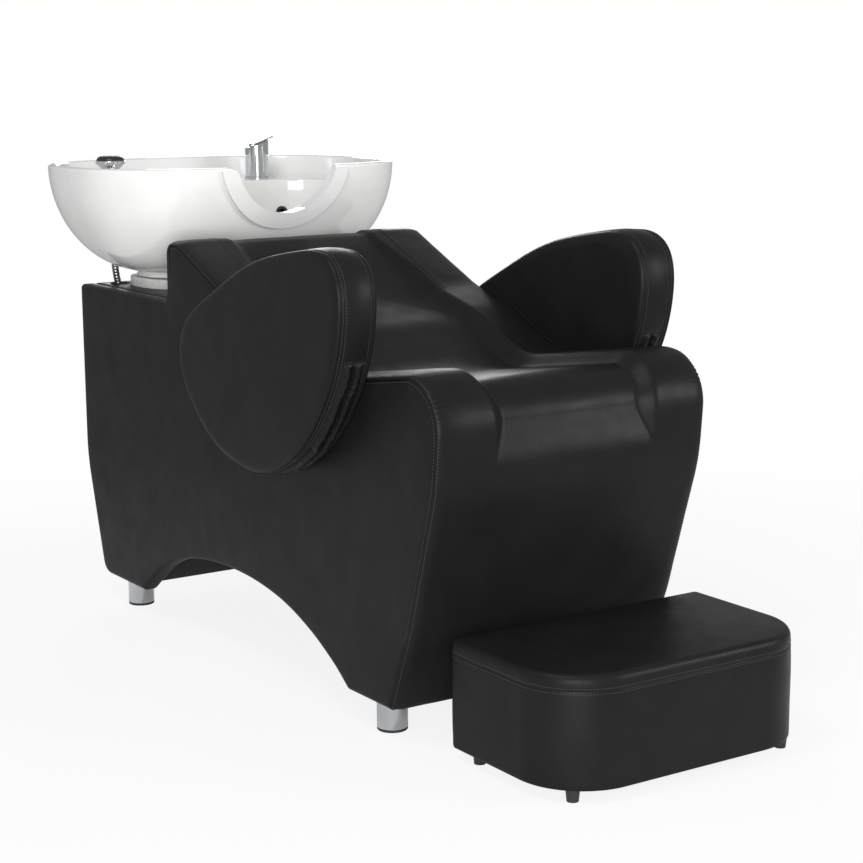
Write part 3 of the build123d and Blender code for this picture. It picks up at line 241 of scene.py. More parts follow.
# Dark and light colour, range of roughness and scale, then the relief's scale and depth, and the stretch
FINISH_VALUES = {
    "black_board": ((0.013, 0.013, 0.014), (0.017, 0.017, 0.018), (0.6, 0.68), 60, (260, 0.0003)),
    "chrome": ((0.56, 0.57, 0.59), (0.66, 0.67, 0.69), (0.05, 0.12), 24, (900, 0.00002)),
    "steel": ((0.42, 0.42, 0.44), (0.58, 0.58, 0.6), (0.26, 0.42), 60, (700, 0.00006), (1, 1, 6)),
    "black_rubber": ((0.012, 0.012, 0.012), (0.026, 0.026, 0.026), (0.65, 0.85), 80),
    "white_ceramic": ((0.8, 0.8, 0.79), (0.86, 0.86, 0.855), (0.07, 0.13), 9, (30, 0.0002)),
    "white_plastic": ((0.78, 0.78, 0.77), (0.82, 0.82, 0.81), (0.24, 0.3), 40, (300, 0.00003)),
    "black_plastic": ((0.01, 0.01, 0.011), (0.02, 0.02, 0.021), (0.28, 0.42), 60),
    "hose_metal": ((0.2, 0.2, 0.21), (0.4, 0.4, 0.41), (0.24, 0.4), 120),
}
METALS, COATS = ("chrome", "steel", "hose_metal"), {"white_ceramic": 0.5}
FINISHES = {"black_leather": LEATHER, "plywood": wood_finish("plywood")}
for name, values in FINISH_VALUES.items():
    FINISHES[name] = finish(name, *values, metallic=float(name in METALS), coat=COATS.get(name, 0))


def new_object(name, verts, faces, material):
    """A smooth closed mesh object with its faces turned outwards."""
    mesh = bpy.data.meshes.new(name)
    mesh.from_pydata([tuple(v) for v in verts], [], [tuple(int(i) for i in f) for f in faces])
    work = bmesh.new()
    work.from_mesh(mesh)
    bmesh.ops.recalc_face_normals(work, faces=work.faces)
    work.to_mesh(mesh)
    work.free()
    mesh.polygons.foreach_set("use_smooth", [True] * len(mesh.polygons))
    mesh.materials.append(material)
    return placed(name, mesh)


def dress(made, body, slot, *stands_for):
    """Fixes a piece to its body and hides the solids that it stands for. The slot is not used."""
    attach(made, body)
    if stands_for:
        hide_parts(*stands_for)


# Outlines
LEAST_ARC_STEPS = 3


def turned(vector, angle):
    """A flat vector turned by an angle."""
    x, y = vector
    return np.array((x * cos(angle) - y * sin(angle), x * sin(angle) + y * cos(angle)))


def rounded(corners, radii, closed=False):
    """Fine points along a polyline whose corners are rounded."""
    spots = [np.array(corner, float) for corner in corners]
    count = len(spots)
    turns = range(count) if closed else range(1, count - 1)
    out = [] if closed else [spots[0]]
    for index, radius in zip(turns, radii):
        here = spots[index]
        back = spots[index - 1] - here
        ahead = spots[(index + 1) % count] - here
        back, ahead = back / np.hypot(*back), ahead / np.hypot(*ahead)
        half = acos(max(-1, min(1, back @ ahead))) / 2
        middle = (back + ahead) / np.hypot(*(back + ahead))
        centre = here + middle * radius / sin(half)
        start = here + back * radius / tan(half) - centre
        swing = pi - 2 * half
        way = 1 if start[0] * (here - centre)[1] - start[1] * (here - centre)[0] > 0 else -1
        steps = max(LEAST_ARC_STEPS, ceil(swing * radius))
        out += [centre + turned(start, way * swing * step / steps) for step in range(steps + 1)]
    if not closed:
        out.append(spots[-1])
    return np.array(out)


def lengths(points):
    """Arc length at each point."""
    return np.concatenate([[0], np.cumsum(np.hypot(*np.diff(points, axis=0).T))])


def sampled(points, places):
    """Points of a polyline at these arc lengths."""
    run = lengths(points)
    return np.stack([np.interp(places, run, points[:, axis]) for axis in (0, 1)], 1)


def evenly(loop, step):
    """A closed loop resampled one step apart."""
    line = np.concatenate([loop, loop[:1]])
    total = lengths(line)[-1]
    return sampled(line, np.linspace(0, total, int(total / step) + 1)[:-1])


def units(vectors):
    """Flat vectors scaled to a length of one."""
    return vectors / np.hypot(*vectors.T)[:, None]


def left_of(along):
    """Directions square to a line's own, on its left."""
    return np.stack([-along[:, 1], along[:, 0]], 1)


def area(loop):
    """Area of a closed loop, below zero where it runs clockwise."""
    after = np.roll(loop, -1, 0)
    return np.sum(loop[:, 0] * after[:, 1] - after[:, 0] * loop[:, 1]) / 2


def outward(loop):
    """Outward directions of a closed loop."""
    along = units(np.roll(loop, -1, 0) - np.roll(loop, 1, 0))
    return (-1 if area(loop) > 0 else 1) * left_of(along)


def smooth(share):
    """A share from 0 to 1 with a soft start and end."""
    return share * share * (3 - 2 * share)


def bell(away, width):
    """1 at the middle, fading to 0 past a width."""
    return np.exp(-((away / width) ** 2))


def ease(value, places, amounts):
    """Amounts at places, joined by smooth steps."""
    value = np.asarray(value, float)
    index = np.clip(np.searchsorted(places, value) - 1, 0, len(places) - 2)
    places, amounts = np.array(places, float), np.array(amounts, float)
    share = np.clip((value - places[index]) / (places[index + 1] - places[index]), 0, 1)
    return amounts[index] + smooth(share) * (amounts[index + 1] - amounts[index])


def uneven(side, distance, height, size, seed=0.0):
    """Smooth unevenness of stretched leather, from -1 to 1."""
    return noise.noise(Vector((side / size + seed, distance / size, height / size)))


def softened(loop, reach):
    """A closed loop whose bends are spread over a reach, its area kept."""
    step = np.hypot(*(loop[1] - loop[0]))
    turns = np.fft.fftfreq(len(loop)) * 2 * pi * reach / step
    fade = np.exp(-0.5 * turns**2)
    soft = np.stack([np.fft.ifft(np.fft.fft(loop[:, axis]) * fade).real for axis in (0, 1)], 1)
    around = np.sum(np.hypot(*(np.roll(soft, -1, 0) - soft).T))
    return soft + outward(soft) * (abs(area(loop)) - abs(area(soft))) / around


# Meshes
def circle(count):
    """Directions spaced evenly round a circle."""
    angles = [2 * pi * step / count for step in range(count)]
    return [(cos(angle), sin(angle)) for angle in angles]


def pairs(start, count, wrap=True):
    """Neighbours in a run of points, the last and first ones too if it wraps."""
    return [(start + i, start + (i + 1) % count) for i in range(count if wrap else count - 1)]


def walls(low, high, count, wrap=True):
    """Quads between two runs of points."""
    return [(a, b, d, c) for (a, b), (c, d) in zip(pairs(low, count, wrap), pairs(high, count, wrap))]


def grid_faces(rows, columns, start=0, wrap=False):
    """Quads between rows of points, the columns joined round if they wrap."""
    lows = [start + row * columns for row in range(rows - 1)]
    return [face for low in lows for face in walls(low, low + columns, columns, wrap)]


def ring_faces(rings, count):
    """Quads between rings of points, the last ring joined to the first."""
    return grid_faces(rings, count, wrap=True) + walls((rings - 1) * count, 0, count)


def shell(outline, rings, caps, place, push):
    """Closed mesh of rings round a star shaped outline, its ends closed by rings that shrink to a point.

    A ring is an inset and a depth, a cap ring a share of the end ring and a depth.
    """
    normals = outward(outline)
    centre = (outline.min(0) + outline.max(0)) / 2
    count = len(outline)
    layers = [(outline - normals * inset, depth) for inset, depth in rings]
    first, last = layers[0][0], layers[-1][0]
    front = [(centre + (first - centre) * share, depth) for share, depth in caps[0][:-1]]
    back = [(centre + (last - centre) * share, depth) for share, depth in caps[1][:-1]]
    verts = []
    for ring, depth in front[::-1] + layers + back:
        for step, (spot, normal) in enumerate(zip(ring, normals)):
            verts.append(place(*(spot + normal * push(step, depth)), depth))
    faces = grid_faces(len(verts) // count, count, wrap=True)
    for (_, depth), start in ((caps[0][-1], 0), (caps[1][-1], len(verts) - count)):
        verts.append(place(*centre, depth))
        faces += [(*pair, len(verts) - 1) for pair in pairs(start, count)]
    return verts, faces


def inside(points, loop):
    """Which points lie inside a closed loop."""
    x, y = points[:, 0][:, None], points[:, 1][:, None]
    start, end = loop, np.roll(loop, -1, 0)
    rise = end[:, 1] - start[:, 1]
    crosses = (start[:, 1] > y) != (end[:, 1] > y)
    reach = start[:, 0] + (y - start[:, 1]) * (end[:, 0] - start[:, 0]) / np.where(rise == 0, 1, rise)
    return (crosses & (x < reach)).sum(1) % 2 == 1


# Shares of the gap between a field's spots, and how near two points are one
ROW_SHARE, FIRST_SHARE, SHIFT_SHARE, CLEAR_SHARE = 0.87, 0.25, 0.5, 0.5
TOUCHING = 1e-6


def field(loops, gap):
    """Spots in the first loop but in no other, how far each is from a loop, and triangles over all."""
    border = np.concatenate(loops)
    low, high = border.min(0), border.max(0)
    spots = []
    for row, b in enumerate(np.arange(low[1] + gap / 2, high[1], gap * ROW_SHARE)):
        for a in np.arange(low[0] + gap * (FIRST_SHARE + SHIFT_SHARE * (row % 2)), high[0], gap):
            spots.append((a, b))
    spots = np.array(spots)

    def within(points):
        kept = inside(points, loops[0])
        for loop in loops[1:]:
            kept &= ~inside(points, loop)
        return kept

    spots = spots[within(spots)]
    away = np.array([np.hypot(*(border - spot).T).min() for spot in spots])
    clear = away > gap * CLEAR_SHARE
    spots, away = spots[clear], away[clear]
    points = np.concatenate([border, spots])
    edges, start = [], 0
    for loop in loops:
        edges += pairs(start, len(loop))
        start += len(loop)
    _, _, faces, origins, _, _ = geometry.delaunay_2d_cdt([Vector(p) for p in points], edges, [], 0, TOUCHING)
    source = [origin[0] if origin else -1 for origin in origins]
    triangles = np.array([[source[i] for i in face] for face in faces])
    triangles = triangles[triangles.min(1) >= 0]
    triangles = triangles[within(points[triangles].mean(1))]
    return spots, away, triangles


BACK_GAP_SHARE, ROUNDED_DEPTH = 3, 5


def hole_walls(holes, front, back):
    """Walls of straight holes, from the first points of their rims on both faces."""
    faces = []
    for size in map(len, holes):
        faces += walls(front, back, size)
        front, back = front + size, back + size
    return faces


def board(outline, profile, gap, place, rise, holes=(), scale=1):
    """Closed mesh of a padded board: rings over its edge, a field on each face, and straight holes.

    A profile row is an inset and a depth. The scale widens the rows that round the edge over.
    """
    normals = outward(outline)
    count = len(outline)
    verts, rings = [], []
    for inset, depth in profile:
        grown = np.ones(count) * (scale if depth < ROUNDED_DEPTH else 1)
        rings.append(outline - normals * (inset * grown)[:, None])
        verts += [place(a, b, c) for (a, b), c in zip(rings[-1], depth * grown)]
    faces = grid_faces(len(rings), count, wrap=True)
    last = (len(rings) - 1) * count
    hole_starts = []
    back = (rings[-1], last, gap * BACK_GAP_SHARE, profile[-1][1])
    for ring, first, step, depth in ((rings[0], 0, gap, 0), back):
        spots, away, triangles = field([ring, *holes], step)
        fresh = sum(map(len, holes)) + len(spots)
        index = [*range(first, first + count), *range(len(verts), len(verts) + fresh)]
        hole_starts.append(len(verts))
        for hole in holes:
            verts += [place(a, b, depth) for a, b in hole]
        for (a, b), far in zip(spots, away):
            verts.append(place(a, b, depth - (rise(a, b, far) if first == 0 else 0)))
        faces += [tuple(index[i] for i in triangle) for triangle in triangles]
    return verts, faces + hole_walls(holes, *hole_starts)


def swept(path, radii, sides):
    """Tube of changing radius along a path, closed at both ends."""
    path = [Vector(p) for p in path]
    verts, across = [], None
    for index, spot in enumerate(path):
        along = (path[min(index + 1, len(path) - 1)] - path[max(index - 1, 0)]).normalized()
        if across is None:
            across = along.orthogonal().normalized()
        across = (across - along * across.dot(along)).normalized()
        other = along.cross(across)
        verts += [spot + radii[index] * (x * across + y * other) for x, y in circle(sides)]
    ends = [tuple(range(sides)), tuple(range(len(verts) - sides, len(verts)))]
    return verts, grid_faces(len(path), sides, wrap=True) + ends


def joined(parts):
    """Several meshes as one list of points and faces."""
    verts, faces = [], []
    for more_verts, more_faces in parts:
        start = len(verts)
        verts += more_verts
        faces += [tuple(start + i for i in face) for face in more_faces]
    return verts, faces


def surface_of(made):
    """Search tree of a piece's surface."""
    mesh = made.data
    return BVHTree.FromPolygons([v.co for v in mesh.vertices], [tuple(p.vertices) for p in mesh.polygons])


def spread(path, step):
    """Points in space, one step apart along a path."""
    out, left = [path[0]], step
    for start, end in zip(path, path[1:]):
        run = end - start
        size = run.length
        while left <= size:
            out.append(start + run * (left / size))
            left += step
        left -= size
    return out


STITCH_PITCH, STITCH_LENGTH, STITCH_RADIUS, STITCH_LIFT = 0.005, 0.0036, 0.00055, 0.0002
# A stitch's rings: place along it and thickness in shares, and whether it lies over the leather or under it
STITCH_RINGS = ((-0.5, 0.35, -1), (-0.25, 1, 1), (0.25, 1, 1), (0.5, 0.35, -1))
THREAD_SHARES = ((1, 0), (0, 0.8), (-1, 0), (0, -0.8))


def stitched(path, surface):
    """Short threads along a path, lying on a surface."""
    parts = []
    rings, corners = len(STITCH_RINGS), len(THREAD_SHARES)
    ends = [tuple(range(corners)), tuple(range((rings - 1) * corners, rings * corners))]
    spots = spread(path, STITCH_PITCH)
    for before, spot in zip(spots, spots[1:]):
        place, normal, _, _ = surface.find_nearest((before + spot) / 2)
        along = spot - before
        along = (along - normal * along.dot(normal)).normalized()
        side = along.cross(normal)
        verts = []
        for share, thick, over in STITCH_RINGS:
            middle = place + along * share * STITCH_LENGTH + normal * over * STITCH_LIFT
            for wide, high in THREAD_SHARES:
                verts.append(middle + STITCH_RADIUS * thick * (side * wide + normal * high))
        parts.append((verts, grid_faces(rings, corners, wrap=True) + ends))
    return parts


def sew(name, paths, surface, body):
    """One piece with all the stitches along these paths."""
    parts = [part for path in paths for part in stitched(path, surface)]
    made = new_object(name, *joined(parts), THREAD_PAINTED_HIGHLIGHT)
    dress(made, body, "black_leather")


WELT_STEP, WELT_SUNK_SHARE, WELT_SIDES = 0.004, 0.45, 6


def welt(path, surface, radius):
    """A seam's low ridge on a surface."""
    line = []
    for spot in spread(path, WELT_STEP):
        place, normal, _, _ = surface.find_nearest(spot)
        line.append(place - normal * radius * WELT_SUNK_SHARE)
    return swept(line, [radius] * len(line), WELT_SIDES)


# Shower hose: one smooth ribbed line from the hand shower through the shelf and up to the mixer
HOSE_ROUTE = (
    (-202, 46, 712), (-202, 45, 664), (-190, 40, 618), (-181, 48, 560), (-177, 53, 470),
    (-150, 60, 385), (-80, 68, 325), (5, 76, 310), (80, 82, 345), (126, 86, 420),
    (136, 86, 510), (137, 84, 590), (137, 86, 668), (159, -22, 716), (159, -22, 784),
)
HOSE_RADIUS = 0.007
RIB_PITCH = 0.006
RIB_SHARES = (0.84, 0.97, 1.0, 0.97)
HOSE_SIDES, HOSE_FINENESS, HOSE_ORDER = 14, 24, 3


def build_hose():
    """The hose as a ribbed tube."""
    curve = bpy.data.curves.new("hose_line", "CURVE")
    curve.dimensions = "3D"
    curve.resolution_u = HOSE_FINENESS
    spline = curve.splines.new("NURBS")
    spline.points.add(len(HOSE_ROUTE) - 1)
    for point, spot in zip(spline.points, HOSE_ROUTE):
        point.co = (*at(*spot), 1)
    spline.order_u = HOSE_ORDER
    spline.use_endpoint_u = True
    line = placed("hose_line", curve)
    bpy.context.view_layer.update()
    mesh = bpy.data.meshes.new_from_object(line.evaluated_get(bpy.context.evaluated_depsgraph_get()))
    centre = [v.co.copy() for v in mesh.vertices]
    bpy.data.objects.remove(line)
    bpy.data.meshes.remove(mesh)
    length = sum((b - a).length for a, b in zip(centre, centre[1:]))
    step = RIB_PITCH / len(RIB_SHARES)
    path = spread(centre, step)
    radii = [HOSE_RADIUS * RIB_SHARES[i % len(RIB_SHARES)] for i in range(len(path))]
    made = new_object("hose", *swept(path, radii, HOSE_SIDES), FINISHES["hose_metal"])
    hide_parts("shower_hose")
    tuple(centre[0])
    [tuple(p) for p in path]
    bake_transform(made)


build_hose()

# Seat and back cover: side view outline from the riser over the neck, seat and crest to the front foot
SEAT_CORNERS = (
    (385, SHELF), (387.8, 741), (437.8, 741), (640, 652.1), (760.3, 621.7), (905, 555.8),
    (1217.3, 601), (1280, 548.3), (1268.5, 422.4), (1195.5, 189.7), (1142, BASE),
)
SEAT_RADII = (23.7, 34.1, 252, 252, 160, 82, 82, 296, 400)
FOOT_CORNER, FOOT_RADIUS = (1112, BASE), 9
seat_line = rounded((*SEAT_CORNERS, FOOT_CORNER), (*SEAT_RADII, FOOT_RADIUS))
seat_run = lengths(seat_line)
SEAM_SET = 8.0
ROW_GAP, FINE_ROW_GAP, NORMAL_REACH = 6.0, 1.3, 0.8


def seat_place(distance, height):
    """Arc length of the seat outline's point nearest to a side view place."""
    return seat_run[np.hypot(seat_line[:, 0] - distance, seat_line[:, 1] - height).argmin()]


# The gathered corner at the front crest: its place, the reach of its fine rows and its folds
PUCKER_SPOT = (1274, 573)
PUCKER_CLEAR, PUCKER_REACH = 44, 42
GATHER_DEPTH, GATHER_LENGTH, GATHER_PITCH, GATHER_WIDTH = 2.6, 15, 8.6, 9
GATHER_RIGHT_SHARE = 0.35
pucker_place = seat_place(*PUCKER_SPOT)

# Channel between the bolsters, from the riser to the front foot
CREST_PLACE, NOSE_PLACE, LOW_PLACE = seat_place(1217, 598), seat_place(1277, 526), seat_place(1271, 452)
CHANNEL_PLACES = [
    0, seat_place(388, 735), seat_place(438, 741), seat_place(600, 668), CREST_PLACE, NOSE_PLACE, LOW_PLACE,
    seat_run[-1],
]
CHANNEL_DEPTHS = [0, 4.0, 7.0, 20.0, 21.0, 20.0, 0, 0]
FOOT_BEFORE, FOOT_AFTER = CREST_PLACE - 60, CREST_PLACE + 30
FOOT_PLACES = [0, FOOT_BEFORE, FOOT_AFTER, NOSE_PLACE, LOW_PLACE, seat_run[-1]]
FOOT_SIDES = [134, 138, 133, 126, 150, 150]
FLANK_WIDTH, FLANK_POWER, LEAST_FLANK_SHARE = 34.0, 0.6, 0.02
MIDDLE_SHARE = 0.14
CROWN_HEIGHT, CROWN_SIDE, CROWN_WIDTH, CROWN_DEPTH = 1.2, 206, 26, 8

# Columns across half of the cover: wide ones, fine ones over the flank, then the rounded edge and its tuck
FLAT_COLUMNS = ((0, 120, 12), (120, 176, 2.8), (178, 228, 8))
EDGE_SPAN, EDGE_STEPS = 26.0, 10
TUCK_COLUMNS = ((1.2, 0.7), (3.4, 0.9))

# Thickness of the skin, how far it draws in below and how much of the channel it follows there
SKIN, UNDER_SIDE_SHARE, UNDER_SINK_SHARE = 16, 0.985, 0.6
# Unevenness as height, size and seed
SEAT_WAVES = ((0.55, 70, 0.0), (0.25, 24, 5.0))
EDGE_STITCHES, EDGE_STITCH_DROP, SEWN_DEPTH, SEWN_END = 1.8, 4.6, 3, 12
NECK_SEAM, NECK_STITCHES, NECK_SEAM_RADIUS, NECK_END = 174, (170, 178), 0.0011, seat_place(700, 640)


def seat_columns():
    """Side places across half of the cover, each with how far the edge has dropped there."""
    columns = [(x, 0.0) for span in FLAT_COLUMNS for x in np.arange(*span)]
    for step in range(EDGE_STEPS + 1):
        angle = step / EDGE_STEPS * pi / 2
        columns.append((HALF - EDGE_SPAN + EDGE_SPAN * sin(angle), SEAM_SET * (1 - cos(angle))))
    return columns + [(HALF - inset, SEAM_SET + drop) for inset, drop in TUCK_COLUMNS]


def seat_sink(place, side):
    """Depth of the channel between the bolsters, less the bolsters' crown."""
    depth = ease(place, CHANNEL_PLACES, CHANNEL_DEPTHS)
    width = FLANK_WIDTH * max(depth / max(CHANNEL_DEPTHS), LEAST_FLANK_SHARE) ** FLANK_POWER
    foot = ease(place, FOOT_PLACES, FOOT_SIDES)
    sunk = depth * smooth(min(1, max(0, (foot + width - side) / width)))
    middle = MIDDLE_SHARE * depth * max(0, 1 - (side / foot) ** 2)
    crown = CROWN_HEIGHT * bell(side - CROWN_SIDE, CROWN_WIDTH) * min(1, depth / CROWN_DEPTH)
    return sunk - middle - crown


def seat_offset(place, spot, side, drop):
    """How far the cover lies below the seat outline."""
    away = place - pucker_place
    gather = GATHER_DEPTH * bell(away, GATHER_LENGTH) * sin(2 * pi * away / GATHER_PITCH)
    gather *= (1 if side < 0 else GATHER_RIGHT_SHARE) * np.exp(-(HALF - abs(side)) / GATHER_WIDTH)
    waves = sum(height * uneven(side, *spot, size, seed) for height, size, seed in SEAT_WAVES)
    return drop + seat_sink(place, abs(side)) + waves - gather


def build_seat_cover():
    """The seat and back cover as one padded skin, its seams and stitches."""
    base = np.arange(0, seat_run[-1], ROW_GAP)
    base = base[np.abs(base - pucker_place) > PUCKER_CLEAR]
    fine = np.arange(pucker_place - PUCKER_REACH, pucker_place + PUCKER_REACH, FINE_ROW_GAP)
    places = np.sort(np.concatenate([base, fine, [seat_run[-1]]]))
    line = sampled(seat_line, places)
    along = sampled(seat_line, places + NORMAL_REACH) - sampled(seat_line, places - NORMAL_REACH)
    normals = left_of(units(along))
    half = seat_columns()
    columns = [(-x, drop) for x, drop in half[:0:-1]] + half
    outer, inner = [], []
    for place, spot, normal in zip(places, line, normals):
        for side, drop in columns:
            outer.append(at(side, *(spot - normal * seat_offset(place, spot, side, drop))))
            under = SEAM_SET + SKIN + UNDER_SINK_SHARE * seat_sink(place, abs(side))
            inner.append(at(side * UNDER_SIDE_SHARE, *(spot - normal * under)))
    rows, wide = len(places), len(columns)
    total = rows * wide
    faces = grid_faces(rows, wide) + grid_faces(rows, wide, total)
    rim = [*range(wide), *range(2 * wide - 1, total, wide)]
    rim += [*range(total - 2, total - wide - 1, -1), *range(total - 2 * wide, 0, -wide)]
    faces += [(a, b, b + total, a + total) for a, b in zip(rim, rim[1:] + rim[:1])]
    cover = new_object("seat_cover", outer + inner, faces, LEATHER)
    dress(cover, "seat", "black_leather", "seat_back_cushion")
    surface = surface_of(cover)

    def row(side, off, end=seat_run[-1] - SEWN_END):
        kept = places <= end
        return [at(side, *(spot - normal * off)) for spot, normal in zip(line[kept], normals[kept])]

    sewn = [row(way * (HALF - EDGE_STITCHES), EDGE_STITCH_DROP) for way in SIDES]
    sewn += [row(way * side, SEWN_DEPTH, NECK_END) for way in SIDES for side in NECK_STITCHES]
    sew("seat_cover_stitches", sewn, surface, "seat")
    ridges = [welt(row(way * NECK_SEAM, SEWN_DEPTH, NECK_END), surface, NECK_SEAM_RADIUS) for way in SIDES]
    dress(new_object("neck_seams", *joined(ridges), LEATHER), "seat", "black_leather")


build_seat_cover()

# Skirt that closes the gap between the basin and its foot, in metres
SKIRT_SET, SKIRT_WALL, SKIRT_WAIST, SKIRT_SUNK = 0.007, 0.0035, 0.004, 0.004
SKIRT_GAP, TILT_GAP, RAY_START = 0.0012, 0.0006, 0.02
SKIRT_POWER, SKIRT_STEPS, SKIRT_SIDES = 2.4, 6, 96
TILT_HINGE, TILT_MOST = (0.642, 0.65), 12.0


def build_skirt():
    """White skirt hung under the basin, its lower edge over the foot ring and clear of it when tilted."""
    low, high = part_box("basin_foot")
    basin = surface_of(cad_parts["basin"])
    middle = Vector(((low[0] + high[0]) / 2, (low[1] + high[1]) / 2, 0))
    half = ((high[0] - low[0]) / 2 - SKIRT_SET, (high[1] - low[1]) / 2 - SKIRT_SET)
    foot = high[2] + SKIRT_GAP
    rings = [[] for _ in range(2 * SKIRT_STEPS + 2)]
    for x, y in circle(SKIRT_SIDES):
        way = Vector((x, y, 0))
        reach = sum(abs(part / size) ** SKIRT_POWER for part, size in zip(way, half)) ** (-1 / SKIRT_POWER)
        spot = middle + way * reach
        hit = basin.ray_cast(Vector((spot.x, spot.y, foot - RAY_START)), Vector((0, 0, 1)))[0]
        top = hit.z + SKIRT_SUNK
        behind = max(0, spot.y - TILT_HINGE[0])
        edge = max(foot, TILT_HINGE[1] + behind * tan(radians(TILT_MOST)) + TILT_GAP * (behind > 0))
        for level in range(SKIRT_STEPS + 1):
            share = level / SKIRT_STEPS
            waist = SKIRT_WAIST * sin(pi * share)
            height = edge + (top - edge) * share
            rings[level].append(spot - way * waist + Vector((0, 0, height)))
            rings[-1 - level].append(spot - way * (waist + SKIRT_WALL) + Vector((0, 0, height)))
    verts = [spot for ring in rings for spot in ring]
    made = new_object("basin_skirt", verts, ring_faces(len(rings), SKIRT_SIDES), FINISHES["white_plastic"])
    dress(made, "basin", "white_plastic")


build_skirt()

# Side panels: the arch between the feet, then the rear edge and the front foot
ARCH_REAR, ARCH_FRONT, ARCH_HEIGHT = 245, 1003, 117
ARCH_DISTANCE_SHARES = (0.126, 0.257, 0.416, 0.574, 0.719, 0.838, 0.937)
ARCH_RISE_SHARES = (0.56, 0.87, 1.00, 0.99, 0.85, 0.6, 0.28)
ARCH_FINENESS = 0.05
PANEL_CORNERS = ((66, BASE), (0, 285), (0, SHELF), (377, SHELF))
PANEL_RADII = (30, 300, 8, 14)
PANEL_FRONT, PANEL_LAP = 1134, 30
SEAM_SKIPPED, PANEL_STEP, SEAM_NEAR, LEAST_STEP = 30, 4.0, 3, 0.01
PLAIN_ROUNDING, ROUNDING_PASSES = 3.4, 4
PANEL_PROFILE = (
    (2.8, 0), (1.8, 0.15), (0.95, 0.6), (0.35, 1.25), (0.05, 2.1), (0, 13), (0, 24), (1.5, 28.4), (5, 30),
)
PANEL_GAP, PANEL_SEED = 11, 9
PANEL_SWELL, SWELL_LENGTH, SWELL_START = 1.3, 30, 10
PANEL_WAVES = ((0.5, 90), (0.2, 30))
FOLD_DEPTH, FOLD_REACH, FOLD_PITCH = 1.8, 18, 11
SEAM_ROW_SET, SEAM_ROW_START, SEAM_ROW_BASE = 5.2, 34, 66
SHELF_ROW_SET, SHELF_ROW_LIFT, SHELF_ROW = 9, 1, range(12, 372, 6)


def smooth_line(spots, step):
    """Points along a smooth curve through spots."""
    spots = np.array(spots, float)
    ghost = np.concatenate([[2 * spots[0] - spots[1]], spots, [2 * spots[-1] - spots[-2]]])
    out = []
    for a, b, c, d in zip(ghost, ghost[1:], ghost[2:], ghost[3:]):
        for share in np.arange(0, 1, step):
            place = 2 * b + (c - a) * share + (2 * a - 5 * b + 4 * c - d) * share**2
            out.append((place + (3 * b - a - 3 * c + d) * share**3) / 2)
    return np.array(out + [spots[-1]])


def panel_outline():
    """Closed outline of a side panel, how much each of its points rounds over, and the seam along it."""
    fine = rounded(SEAT_CORNERS, SEAT_RADII)
    seam = fine - left_of(units(np.gradient(fine, axis=0))) * SEAM_SET
    arch = [(ARCH_FRONT, BASE)]
    for distance, rise in zip(ARCH_DISTANCE_SHARES[::-1], ARCH_RISE_SHARES[::-1]):
        arch.append((ARCH_REAR + distance * (ARCH_FRONT - ARCH_REAR), BASE + rise * ARCH_HEIGHT))
    arch = smooth_line(arch + [(ARCH_REAR, BASE)], ARCH_FINENESS)
    rear = rounded([arch[-1], *PANEL_CORNERS, seam[0] + (0, PANEL_LAP)], PANEL_RADII)
    path = np.concatenate([rear, seam[SEAM_SKIPPED:], [(PANEL_FRONT, BASE)], arch[:-1]])
    path = path[np.diff(lengths(path), prepend=-1) > LEAST_STEP]
    loop = evenly(path, PANEL_STEP)
    near = np.array([np.hypot(*(seam[SEAM_SKIPPED:] - spot).T).min() for spot in loop])
    scale = np.where(near < SEAM_NEAR, 1.0, PLAIN_ROUNDING)
    for _ in range(ROUNDING_PASSES):
        scale = (np.roll(scale, 1) + scale + np.roll(scale, -1)) / 3
    return loop, scale, seam


def build_panel(hand, way, outline, scale, seam):
    """One side panel with its seam rows."""

    def place(a, b, depth):
        return at(way * (HALF - depth), a, b)

    def rise(a, b, far):
        swell = PANEL_SWELL * (1 - np.exp(-far / SWELL_LENGTH))
        swell += sum(height * uneven(way * PANEL_SEED, a, b, size) for height, size in PANEL_WAVES)
        apart = np.hypot(a - PUCKER_SPOT[0], b - PUCKER_SPOT[1])
        fold = FOLD_DEPTH * bell(apart, FOLD_REACH) * sin(2 * pi * (a + b) / FOLD_PITCH)
        return swell * min(1, far / SWELL_START) + fold

    mesh = board(outline, PANEL_PROFILE, PANEL_GAP, place, rise, scale=scale)
    panel = new_object(f"side_panel_{hand}_cover", *mesh, LEATHER)
    dress(panel, "seat", "black_leather", f"side_panel_{hand}")
    inner = seam - left_of(units(np.gradient(seam, axis=0))) * SEAM_ROW_SET
    row = [at(way * HALF, *spot) for spot in inner[SEAM_ROW_START::2] if spot[1] > SEAM_ROW_BASE]
    side, height = way * (HALF - SHELF_ROW_SET), SHELF + SHELF_ROW_LIFT
    shelf_row = [at(side, distance, height) for distance in SHELF_ROW]
    sew(f"side_panel_{hand}_stitches", [row, shelf_row], surface_of(panel), "seat")


panel_shape = panel_outline()
for hand, way in HANDS.items():
    build_panel(hand, way, *panel_shape)

# Rear shelf
SHELF_HALF, SHELF_REAR, SHELF_FRONT, SHELF_RADIUS = 226.6, 3, 404, 6
SHELF_STEP, SHELF_GAP = 5, 11
WASTE_HOLE, WASTE_RADIUS, WASTE_SIDES, WASTE_STRETCH = (0, 175), 23, 36, 11
HOSE_HOLES, HOSE_HOLE_RADIUS, HOSE_HOLE_SIDES = ((-190.5, 43.0), (137.0, 88.0)), 17, 32
SHELF_WAVE, SHELF_WAVE_SIZE, SHELF_SEED, SHELF_SAG = 0.15, 40, 3, 0.2
SHELF_PROFILE = ((5, 0), (3, 0.3), (1.2, 1.2), (0.2, 2.8), (0, 6), (0, 18), (1.5, 21), (4, 22))


